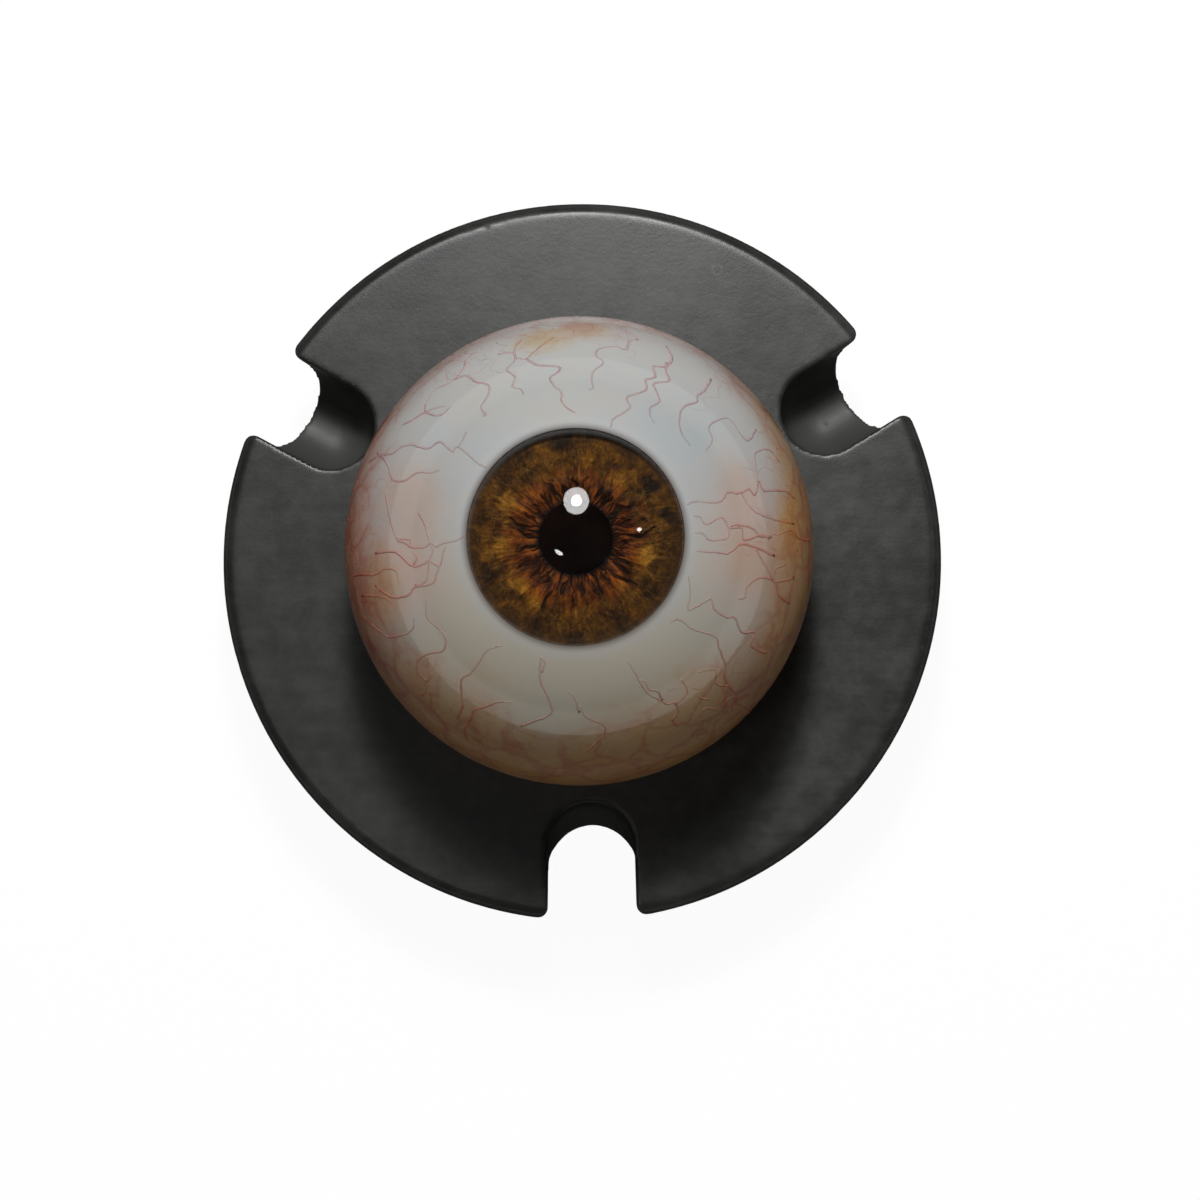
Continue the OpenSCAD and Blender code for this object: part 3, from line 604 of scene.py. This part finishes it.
def retina_material():
    s = Shader("retina_layer")
    p = from_eye(s)
    cloud = s.noise(p, 0.22, 5, 0.62, 0.5)
    colour = s.ramp(cloud, [(0.3, srgb(188, 96, 52)), (0.5, srgb(206, 116, 66)), (0.72, srgb(220, 142, 88))])
    spot = s.vec("DISTANCE", p, (0, 0, -RETINA_R))
    colour = s.mix(s.step(spot, 7.5, 2.0, 0, 0.75), colour, srgb(150, 62, 34))
    colour = s.mix(s.step(spot, 1.8, 0.6, 0, 0.8), colour, srgb(106, 36, 22))
    speck = s.noise(p, 1.6, 3, 0.7)
    colour = s.mix(s.step(speck, 0.6, 0.75, 0, 0.25), colour, srgb(160, 72, 40))
    return s.finish(Base_Color=colour, Roughness=s.step(cloud, 0.3, 0.7, 0.35, 0.5), Coat_Weight=0.3,
                    Coat_Roughness=0.2, Normal=s.bump(speck, 0.03 * MM, 0.5))


def nerve_material():
    s = Shader("nerve_bundles")
    p = from_eye(s)
    tilt = math.radians(NERVE_ANGLE)
    axis = (math.sin(tilt), 0.0, math.cos(tilt))
    along = s.vec("DOT_PRODUCT", p, axis)
    bundles = s.cells(s.vec("MULTIPLY", s.vec("SUBTRACT", p, axis), (1, 1, 0.04)), 1.7)
    fibre = s.noise(s.vec("MULTIPLY", p, (3, 3, 0.15)), 1.0, 4, 0.7)
    colour = s.ramp(s.math("ADD", s.math("MULTIPLY", fibre, 0.7), s.math("MULTIPLY", bundles, 0.8)),
                    [(0.2, srgb(150, 112, 62)), (0.5, srgb(212, 178, 116)), (0.8, srgb(232, 210, 158))])
    colour = s.mix(s.step(along, -31.5, -30.0, 0, 0.6), colour, srgb(238, 206, 150))
    return s.finish(Base_Color=colour, Roughness=s.step(fibre, 0.3, 0.7, 0.4, 0.6),
                    Normal=s.bump(bundles, 0.12 * MM, 0.8))


# ---------------------------------------------------------------- pieces
def softened(node, name, body, slot, mat, voxel_mm, passes):
    """Copy of a CAD node with the rounded edges of a moulding, in its place."""
    mesh = NODE[node].data.copy()
    tmp = bpy.data.objects.new("tmp_" + name, mesh)
    bpy.context.scene.collection.objects.link(tmp)
    remesh = tmp.modifiers.new("remesh", "REMESH")
    remesh.mode = "VOXEL"
    remesh.voxel_size = voxel_mm * MM
    smooth = tmp.modifiers.new("smooth", "SMOOTH")
    smooth.factor, smooth.iterations = 0.5, passes
    done = bpy.data.meshes.new_from_object(tmp.evaluated_get(bpy.context.evaluated_depsgraph_get()))
    done.name = name
    bpy.data.objects.remove(tmp)
    return add_object(name, done, body, slot, mat, node)


SMALL_FLAMES = 60
FLAMES = (  # dark flames round the pupil: angle and distance from the axis at both ends; half-width (degrees, mm)
    (113, 6.6, 118, 9.1, 0.30), (84, 7.0, 80, 9.2, 0.24), (92, 7.6, 91, 8.9, 0.22), (131, 5.8, 128, 8.3, 0.26),
    (167, 6.6, 165, 10.2, 0.17), (180, 6.0, 173, 8.7, 0.22), (190, 6.2, 193, 8.6, 0.20), (207, 5.8, 208, 9.7, 0.32),
    (216, 6.3, 224, 9.0, 0.24), (246, 7.4, 244, 11.9, 0.26), (260, 6.2, 256, 8.6, 0.28), (276, 6.6, 274, 8.8, 0.42),
    (289, 6.8, 291, 9.1, 0.28), (296, 7.2, 295, 9.2, 0.18), (314, 6.6, 322, 11.3, 0.26), (329, 6.2, 327, 9.6, 0.28),
    (337, 6.0, 333, 8.8, 0.22), (352, 6.0, 350, 8.0, 0.18), (2, 7.4, 6, 11.8, 0.20), (19, 6.0, 17, 8.5, 0.24),
    (38, 6.0, 30, 9.2, 0.34), (50, 6.2, 47, 8.2, 0.24), (66, 6.4, 61, 8.4, 0.20), (104, 6.2, 105, 8.0, 0.22),
    (146, 6.0, 143, 8.0, 0.24), (158, 6.0, 155, 8.4, 0.18), (233, 6.2, 236, 8.2, 0.22), (305, 6.2, 308, 8.6, 0.22),
)
BLOTS = (  # angle, distance and reach in degrees and mm, then amount: golden above 0, dark below
    (55, 10.6, 2.4, 1.0), (150, 11.4, 2.4, 0.9), (138, 9.2, 1.6, 0.7), (188, 10.8, 2.5, 0.9), (218, 10.4, 2.0, 0.7),
    (233, 10.6, 2.0, 1.1), (265, 12.0, 2.2, 0.5), (312, 9.6, 1.8, 0.7), (346, 10.4, 2.0, 0.9), (8, 12.4, 1.8, 0.3),
    (82, 11.6, 1.6, 0.5), (112, 11.6, 1.6, 0.4), (35, 13.2, 1.5, -1.6), (14, 13.6, 1.6, -0.9),
    (300, 13.6, 2.2, -0.5), (326, 13.0, 1.8, -0.7), (272, 13.8, 2.4, -0.6), (245, 13.6, 2.0, -0.4),
    (96, 13.8, 2.4, -0.6), (122, 13.6, 1.8, -0.7), (205, 13.8, 2.0, -0.4), (168, 13.8, 1.6, -0.6),
)


def iris_marks(t, r, bent, fine):
    """Dark flames (0 to 1) and golden or dark blots (about -1 to 1) over the grid of turns t and radii r."""
    rng = random.Random(5)
    small = [(rng.uniform(0, 360), PUPIL_R + 0.1, None, rng.uniform(6.6, 8.2), rng.uniform(0.06, 0.12))
             for _ in range(SMALL_FLAMES)]
    flame = np.zeros_like(r)
    for start, near, end, tip, width in [*FLAMES, *small]:
        end = start + rng.uniform(-6, 6) if end is None else end
        u = np.clip((r - near) / (tip - near), 0, 1)
        sway = rng.uniform(0.8, 2.2) * np.sin(u * rng.uniform(4, 8) + rng.uniform(0, 6))
        off = (bent * 360 - start - (end - start) * u - sway + 180) % 360 - 180
        gap = np.abs(np.radians(off)) * r
        thick = width * (0.4 + 0.75 * np.sin(math.pi * u**0.8)) * (1 + 0.5 * fine)
        ends = ease(r, near - 0.8, near + 0.2) * ease(-r, -tip - 0.15, -tip + 0.35)
        flame = np.maximum(flame, ease(1.5 - gap / thick, 0, 1) * ends)
    gold = np.zeros_like(r)
    lump = ring_noise(t, (r - PUPIL_R) / (IRIS_R - PUPIL_R), 30, 8, 21)
    x, y = r * np.cos(t * 2 * math.pi), r * np.sin(t * 2 * math.pi)
    for angle, at, reach, amount in BLOTS:
        a = math.radians(angle)
        away = np.hypot(x - at * math.cos(a), y - at * math.sin(a)) * (1 + 0.5 * lump) + 0.9 * fine
        gold += amount * ease(-away, -reach, -0.2 * reach)
    return flame, gold


def make_iris(mat):
    """Iris with its relief: a collar round the pupil, radial folds, furrows and sunken flames."""
    spokes, rings = ((960, 140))
    turn = np.arange(spokes) / spokes
    angle = turn * 2 * math.pi
    t, r = np.meshgrid(turn, np.linspace(PUPIL_R, IRIS_R, rings))
    open_share = np.clip((FOLDS_R - r) / (FOLDS_R - PUPIL_R), 0, 1)
    depth = (r - PUPIL_R) / (IRIS_R - PUPIL_R)
    bent = t + 0.005 * ring_noise(t, depth, 24, 7, 3) + 0.002 * ring_noise(t, depth, 60, 12, 4)
    ridge = 8.4 + 0.55 * ring_noise(t, depth * 0, 11, 2, 5) + 0.35 * ring_noise(t, depth * 0, 29, 2, 6)
    collar = np.exp(-((r - ridge) / 0.9) ** 2)
    fine = 0.6 * ring_noise(bent, depth, 210, 6, 7) + 0.4 * ring_noise(bent, depth, 420, 9, 8)
    coarse = ring_noise(bent, depth, 66, 4, 9)
    flame, gold = iris_marks(t, r, bent, fine)
    furrow = sum(np.exp(-((r - at - 0.25 * ring_noise(t, depth * 0, 9, 2, 13 + k)) / 0.22) ** 2)
                 * ease(ring_noise(t, depth * 0, 7, 2, 17 + k), -0.3, 0.4)
                 for k, at in enumerate((11.2, 12.6, 13.8)))
    shade = np.sin(np.pi * open_share)
    rise = (open_share * (0.42 * collar - 0.33 * open_share) + shade * (0.10 * fine + 0.13 * coarse + 0.05 * gold)
            - 0.25 * flame * ease(-r, -13, -11) - 0.10 * furrow * open_share)
    x, y = r * np.cos(angle), r * np.sin(angle)
    top = [np.stack([x[i], y[i], np.full(spokes, EYE_Z + IRIS_TOP) + rise[i]], -1) * MM for i in range(rings)]
    low = [np.stack([q * np.cos(angle), q * np.sin(angle), np.full(spokes, EYE_Z + IRIS_UNDER)], -1) * MM
           for q in (IRIS_R, (IRIS_R + PUPIL_R) / 2, PUPIL_R + 0.05)]
    mesh = grid_mesh("iris_relief", top + low)
    for name, field in (("gold", gold), ("streak", flame)):
        values = np.concatenate([field.ravel(), np.zeros(3 * spokes)]).astype(np.float32)
        mesh.attributes.new(name, "FLOAT", "POINT").data.foreach_set("value", values)
    add_object("iris_relief", mesh, "eye_front", "iris", mat, "iris")


def make_cornea(mat):
    """Clear dome with an even wall down to a rounded foot that stands on the iris's edge."""
    spokes = 192
    angle = np.arange(spokes) * 2 * math.pi / spokes
    outer_r, inner_r = CORNEA_R - 0.01, CORNEA_R - CORNEA_T
    neck = LIMBUS_R - 0.06
    top_angle, low_angle = math.asin(neck / outer_r), math.asin((neck - 0.25) / inner_r)
    line = [(outer_r * math.sin(a), CORNEA_Z + outer_r * math.cos(a)) for a in np.linspace(0.004, top_angle, 56)]
    line += [(neck, CORNEA_Z + outer_r * math.cos(top_angle) - d) for d in (0.25, 0.7, 1.2)]
    line += [(inner_r * math.sin(a), CORNEA_Z + inner_r * math.cos(a)) for a in np.linspace(low_angle, 0.004, 56)]
    loops = [np.stack([q * np.cos(angle), q * np.sin(angle), np.full(spokes, EYE_Z + h)], -1) * MM for q, h in line]
    mesh = grid_mesh("cornea_dome", loops, closed_loops=False)
    bm = bmesh.new()
    bm.from_mesh(mesh)
    # close the small holes at the poles of the outer and then the inner face
    between_faces = (EYE_Z + CORNEA_Z + CORNEA_R - CORNEA_T / 2) * MM
    bmesh.ops.contextual_create(bm, geom=[e for e in bm.edges
                                          if e.is_boundary and e.verts[0].co.z > between_faces])
    bmesh.ops.contextual_create(bm, geom=[e for e in bm.edges if e.is_boundary])
    bmesh.ops.recalc_face_normals(bm, faces=bm.faces)
    bm.to_mesh(mesh)
    bm.free()
    let_light_in(add_object("cornea_dome", mesh, "eye_front", "cornea", mat, "cornea"))


# Main veins on the white, read in four enlarged quarters of the photograph's middle
QUARTER_SIDE, QUARTER_SHOWN = 235, 1535     # side of a quarter in the photograph and as enlarged, pixels
QUARTER_CORNER = {"UL": (345, 310), "UR": (580, 310), "LL": (345, 550), "LR": (580, 550)}
VEINS = (       # quarter; weight; pixels across and down in the enlarged quarter, by turns
    ("UL", 1.0, (160, 990, 230, 950, 310, 935, 370, 895, 440, 880, 540, 905, 620, 865, 700, 925, 745, 895,
                 850, 985, 920, 1030)),
    ("UL", 0.5, (745, 890, 770, 850, 795, 800)),
    ("UL", 0.6, (290, 1060, 320, 1110, 400, 1115, 470, 1065, 560, 1065, 620, 1045)),
    ("UL", 1.1, (860, 270, 800, 320, 770, 390, 690, 470, 600, 515, 545, 590, 530, 650)),
    ("UL", 0.8, (720, 450, 790, 430, 860, 470, 930, 490, 940, 550, 890, 640, 920, 680, 895, 695)),
    ("UL", 1.2, (380, 745, 440, 720, 520, 670, 600, 690, 650, 670, 690, 635)),
    ("UL", 0.7, (520, 620, 530, 660, 600, 640, 660, 625)),
    ("UL", 0.7, (1000, 290, 1100, 280, 1110, 330, 1060, 390, 1110, 440, 1095, 500, 1150, 520, 1165, 555)),
    ("UL", 0.9, (1370, 180, 1280, 240, 1230, 280, 1180, 320, 1110, 315)),
    ("UL", 0.9, (1150, 200, 1110, 250, 1110, 300)),
    ("UL", 0.9, (1180, 320, 1260, 360, 1395, 370, 1390, 410, 1345, 440, 1360, 490, 1415, 540, 1410, 590,
                 1450, 640, 1500, 670)),
    ("UL", 1.0, (210, 930, 250, 970, 290, 1030, 310, 1120)),
    ("UL", 0.7, (265, 1200, 290, 1330, 310, 1420, 340, 1490, 420, 1500, 430, 1535)),
    ("UL", 0.5, (480, 1320, 520, 1400, 545, 1480, 560, 1530)),
    ("UR", 0.6, (380, 190, 320, 210, 300, 260, 220, 240, 120, 260, 105, 300, 155, 345, 85, 410, 75, 470,
                 85, 510, 60, 520)),
    ("UR", 1.0, (560, 240, 600, 310, 560, 370, 480, 370, 490, 440, 430, 460, 430, 525, 310, 570, 325, 630,
                 300, 660, 220, 710, 200, 760)),
    ("UR", 0.8, (560, 340, 560, 400, 580, 465, 480, 480, 500, 540, 520, 600, 460, 640, 460, 690, 485, 740)),
    ("UR", 0.9, (855, 450, 815, 520, 765, 560, 760, 600, 670, 640, 645, 740, 670, 820, 720, 885)),
    ("UR", 0.7, (1150, 780, 1100, 850, 1060, 830, 1010, 750, 960, 705, 900, 720, 840, 765, 865, 850,
                 820, 920)),
    ("UR", 1.0, (1400, 1230, 1330, 1180, 1200, 1180, 1170, 1120, 1140, 1210, 1100, 1170, 1030, 1200,
                 965, 1190, 920, 1250, 850, 1255, 740, 1250, 700, 1270)),
    ("UR", 0.9, (1240, 1490, 1170, 1470, 1070, 1500, 1050, 1420, 980, 1425, 950, 1380, 910, 1355, 830, 1400,
                 780, 1355, 740, 1350)),
    ("UR", 0.8, (1250, 1480, 1170, 1470, 1130, 1430, 1030, 1405, 975, 1420, 960, 1490, 850, 1500, 800, 1460,
                 750, 1455)),
    ("UR", 0.6, (1050, 1190, 1100, 1280, 1170, 1330, 1250, 1360, 1400, 1400)),
    ("UR", 0.8, (1300, 990, 1230, 910, 1150, 930, 1145, 1000, 1160, 1120)),
    ("LR", 1.0, (1270, 40, 1140, -20, 1050, -35, 970, 20, 870, 15, 760, 8)),
    ("LL", 0.9, (200, 20, 330, 15, 430, 100, 500, 95, 550, 70, 620, 105, 640, 20, 660, -20)),
    ("LL", 0.7, (340, -60, 400, -45, 430, -20, 520, -20, 560, -45, 600, -25, 640, -45, 720, -60, 775, -90)),
    ("LL", 0.7, (570, -30, 575, 20, 550, 70, 540, 180, 510, 220, 460, 230)),
    ("LL", 1.0, (620, 105, 600, 160, 570, 220, 460, 240, 430, 285, 370, 310, 290, 300, 200, 230)),
    ("LL", 0.7, (450, 20, 470, 50, 450, 90)),
    ("LL", 0.8, (535, 330, 530, 380, 540, 450, 600, 500, 645, 550, 660, 610, 630, 660, 540, 680, 475, 720,
                 480, 790, 525, 860, 520, 930, 470, 950)),
    ("LL", 0.6, (540, 690, 550, 780, 565, 820, 530, 860)),
    ("LL", 0.9, (1020, 625, 930, 655, 870, 740, 810, 810, 760, 850, 765, 950, 770, 1020, 730, 1110)),
    ("LL", 1.1, (1090, 995, 1000, 995, 920, 1025, 840, 1050, 820, 1110, 780, 1180, 790, 1230)),
    ("LL", 1.0, (1290, 690, 1270, 780, 1285, 870, 1340, 990, 1350, 1040, 1330, 1080, 1230, 1120,
                 1150, 1150)),
    ("LL", 0.6, (1280, 700, 1305, 740, 1285, 800)),
    ("LL", 0.5, (1455, 920, 1500, 970, 1530, 1060)),
    ("LL", 1.0, (40, 170, 120, 160, 200, 160, 260, 125, 330, 135, 350, 210)),
    ("LL", 0.9, (120, 440, 210, 520, 290, 570, 400, 545, 450, 500, 450, 440)),
    ("LL", 0.8, (110, 300, 200, 300, 290, 330, 330, 380)),
    ("LR", 1.0, (315, 720, 370, 820, 430, 920, 530, 985, 570, 1005, 620, 1000, 640, 1060, 610, 1110,
                 640, 1150)),
    ("LR", 0.7, (390, 850, 430, 860, 450, 910, 510, 925, 535, 985)),
    ("LR", 0.7, (660, 840, 700, 920, 660, 980, 620, 1010)),
    ("LR", 1.0, (590, 470, 650, 455, 750, 520, 880, 565, 910, 650, 950, 750, 945, 830, 985, 900, 1020, 950,
                 990, 1060)),
    ("LR", 1.0, (705, 170, 720, 260, 705, 385, 760, 370, 850, 320, 880, 390, 960, 440, 1010, 440, 1060, 540,
                 1140, 540, 1120, 620, 1160, 655, 1215, 680)),
    ("LR", 0.7, (770, 800, 880, 785, 890, 870, 980, 890)),
    ("LR", 0.7, (770, 950, 790, 970, 840, 975)),
    ("LR", 0.7, (760, 1090, 820, 1030, 900, 1040, 970, 975)),
    ("LR", 0.9, (1035, 320, 1080, 310, 1090, 240, 1180, 180, 1270, 210, 1300, 300, 1370, 350)),
    ("LR", 0.7, (1140, -20, 1190, 70, 1260, 200)),
    ("LR", 0.8, (1400, 180, 1270, 205, 1280, 120, 1340, 100)),
    ("LR", 0.5, (0, 1010, 40, 1090, 150, 1140, 160, 1200, 100, 1260, 40, 1320)),
    ("UR", 1.2, (1500, 1510, 1430, 1490, 1380, 1440, 1290, 1470)),
    ("LR", 1.1, (1010, 1000, 1070, 1030, 1120, 1080)),
)
CAPILLARIES = (     # direction round the eye's axis and spread, degrees; count
    (180, 26, 46), (0, 26, 46), (90, 38, 30), (270, 42, 14),
    (45, 22, 10), (135, 22, 10), (225, 22, 10), (315, 22, 10),
)
REAR_CAPILLARIES = 110


def read_point(quarter, across, down):
    """Place of a read point in mm right of and above the globe's centre, to a tenth."""
    left, top = QUARTER_CORNER[quarter]
    share = QUARTER_SIDE / QUARTER_SHOWN
    u = (left + across * share - EYE_PIXEL[0]) * PIXEL / MM
    v = (EYE_PIXEL[1] - top - down * share) * PIXEL / MM
    return round(u, 1), round(v, 1)


def on_globe(u, v, place, right, up, radius_mm=EYE_R):
    """Direction from the globe's centre to the point seen u mm right of and v mm above it."""
    ray = (EYE + (right * u + up * v) * MM - place).normalized()
    to = EYE - place
    middle = to.dot(ray)
    miss = to.length_squared - middle**2
    depth = math.sqrt(max((radius_mm * MM) ** 2 - miss, 1e-9))
    return (place + ray * (middle - depth) - EYE).normalized()


def make_veins(mat):
    rng = random.Random(7)
    place, right, up, _ = view_axes()
    front, rear = Threads(EYE_R), Threads(EYE_R)
    for quarter, weight, readings in VEINS:
        points = [on_globe(*read_point(quarter, across, down), place, right, up)
                  for across, down in zip(readings[::2], readings[1::2])]
        path = smooth_path([tuple(p) for p in points], 7)
        path += np.array([[rng.gauss(0, 0.0012) for _ in range(3)] for _ in path])
        share = np.linspace(0, 1, len(path))
        thick = 1 - share if path[0, 2] < path[-1, 2] else share    # thickest at the end that lies lower
        widths = (0.105 + 0.07 * thick) * (0.7 + 0.45 * weight)
        front.add(path, widths, np.clip((0.1 + 0.6 * weight) * (0.19 + 0.22 * thick), 0, 1))

    def capillary(turn, start, end, width, strength, threads):
        """A fine vein that winds from one angle off the eye's axis to another and fades."""
        heading, path = turn, []
        steps = max(6, int(abs(start - end) / 1.6))
        for k in range(steps + 1):
            polar = math.radians(start + (end - start) * k / steps)
            heading += rng.gauss(0, 1.7) / max(0.35, math.sin(polar))
            a = math.radians(heading)
            path.append((math.sin(polar) * math.cos(a), math.sin(polar) * math.sin(a), math.cos(polar)))
        line = smooth_path(path, 3)
        share = np.linspace(1, 0.35, len(line))
        threads.add(line, width * share, strength * share)

    for centre, spread, count in CAPILLARIES:
        for _ in range(count):
            start = rng.uniform(66, 91)
            capillary(centre + rng.gauss(0, spread / 2), start, start - rng.uniform(8, 24), rng.uniform(0.04, 0.08),
                      rng.uniform(0.15, 0.45), front)
    for _ in range(REAR_CAPILLARIES):
        turn, start = rng.uniform(0, 360), rng.uniform(110, 150)
        capillary(turn, start, max(95.5, start - rng.uniform(12, 45)), rng.uniform(0.06, 0.14),
                  rng.uniform(0.4, 0.9), rear)
    add_object("surface_veins_front", front.mesh("surface_veins_front"), "eye_front", "artery", mat)
    add_object("surface_veins_rear", rear.mesh("surface_veins_rear"), "eye_rear", "artery", mat)


# Retinal vessels: directions in which they leave the optic disc, and reach from it, both in degrees
MAIN_VESSELS, MAIN_REACH = (52, 128, 232, 308), 82
SMALL_VESSELS, SMALL_REACH = (158, 202, 62, 298), 34


def make_retinal_vessels(red, blue):
    rng = random.Random(11)
    tilt = math.radians(NERVE_ANGLE)
    disc = np.array([-math.sin(tilt), 0, -math.cos(tilt)])
    side, other = np.array([math.cos(tilt), 0, -math.sin(tilt)]), np.array([0, 1, 0])
    threads = {name: Threads(RETINA_R, inside=True) for name in ("retinal_arteries", "retinal_veins")}

    def grow(sheet, start, heading, length, width, level):
        """A vessel that starts at an angle from the disc and winds away, with side branches."""
        out, turn, path = start, heading, []
        while out < start + length:
            a = math.radians(turn)
            r = math.radians(out)
            d = disc * math.cos(r) + (side * math.cos(a) + other * math.sin(a)) * math.sin(r)
            if d[2] * RETINA_R > SPLIT_Z - 0.6:
                break
            path.append(d)
            out += 2.2
            t = math.radians(turn)
            arch = math.copysign(1.1, math.sin(t)) * math.cos(t) if out < 40 else 0
            turn += rng.gauss(0, 2.6) + arch
            if level < 2 and rng.random() < 0.22 and len(path) > 2:
                branch = turn + rng.choice((-1, 1)) * rng.uniform(12, 30)
                grow(sheet, out, branch, length * 0.5, width * 0.62, level + 1)
        if len(path) > 3:
            line = smooth_path(path, 4)
            sheet.add(line, np.linspace(width, width * 0.45, len(line)), np.ones(len(line)), flat=0.6)

    for name, sheet in threads.items():
        shift = 7 if name == "retinal_veins" else -7
        for heading in MAIN_VESSELS:
            grow(sheet, 4.2, heading + shift, MAIN_REACH, 0.26 if shift > 0 else 0.2, 0)
        for heading in SMALL_VESSELS:
            grow(sheet, 4.2, heading + shift, SMALL_REACH, 0.15, 1)
    for (name, sheet), mat, slot in zip(threads.items(), (red, blue), ("artery", "vein")):
        add_object(name, sheet.mesh(name), "eye_rear", slot, mat)


make_camera()
make_light()
make_floor()

sclera = sclera_material()
red = tissue_material("vessel_red", [(0.3, srgb(128, 18, 18)), (0.7, srgb(182, 40, 34))], 0.8, coat=0.5)
blue = tissue_material("vessel_blue", [(0.3, srgb(30, 36, 84)), (0.7, srgb(58, 66, 140))], 0.8, coat=0.5)
choroid = tissue_material("choroid_layer", [(0.3, srgb(96, 34, 26)), (0.5, srgb(128, 50, 36)),
                                            (0.72, srgb(150, 70, 48))], 0.25, (0.55, 0.09, srgb(72, 18, 16), 0.8))
retina = retina_material()
LOOKS = {
    "sclera_front": sclera, "sclera_rear": sclera,
    "choroid_front": choroid, "choroid_rear": choroid,
    "retina_front": retina, "retina_rear": retina,
    "nerve_sheath": tissue_material("sheath_layer", [(0.3, srgb(190, 172, 146)), (0.7, srgb(222, 208, 184))], 0.5,
                                    (0.5, 0.05, srgb(160, 92, 78), 0.5)),
    "optic_nerve": nerve_material(),
    "central_artery": red, "central_vein": blue,
    "locating_pins": steel_material("pin_steel", False),
    "cover_screws": steel_material("screw_steel", False),
    "ballast_ring": steel_material("ballast_steel", True),
    "ciliary_body": tissue_material("ciliary_layer", [(0.3, srgb(44, 22, 16)), (0.5, srgb(76, 42, 28)),
                                                      (0.72, srgb(112, 70, 46))], 0.7, rough=(0.35, 0.6), coat=0.3),
    "zonule": tissue_material("zonule_fibres", [(0.3, srgb(206, 200, 180)), (0.7, srgb(234, 230, 214))], 1.5,
                              coat=0.4),
    "lens": clear_material("lens_clear", (0.99, 0.97, 0.90), 1.42, 0.02, 0.0),
    "vitreous_body": clear_material("vitreous_clear", (0.97, 0.985, 0.99), 1.34, 0.02, 0.4),
    "seat_ring": rubber_material("seat_rubber", (0.012, 0.012, 0.012)),
    "foot_pad": rubber_material("pad_rubber", (0.014, 0.014, 0.014), cell=0.6),
    "bottom_cover": rubber_material("cover_plastic", (0.02, 0.02, 0.02)),
}
for node, mat in LOOKS.items():
    dress(NODE[node], mat)
let_light_in(NODE["vitreous_body"])

softened("base_body", "stand_moulding", "stand", "stand", stand_material(), 0.42, 3)
make_iris(iris_material())
make_cornea(clear_material("cornea_clear", (0.99, 0.99, 0.99), 1.49))
make_veins(vein_material())
make_retinal_vessels(red, blue)

bpy.context.scene.view_settings.view_transform = "Standard"
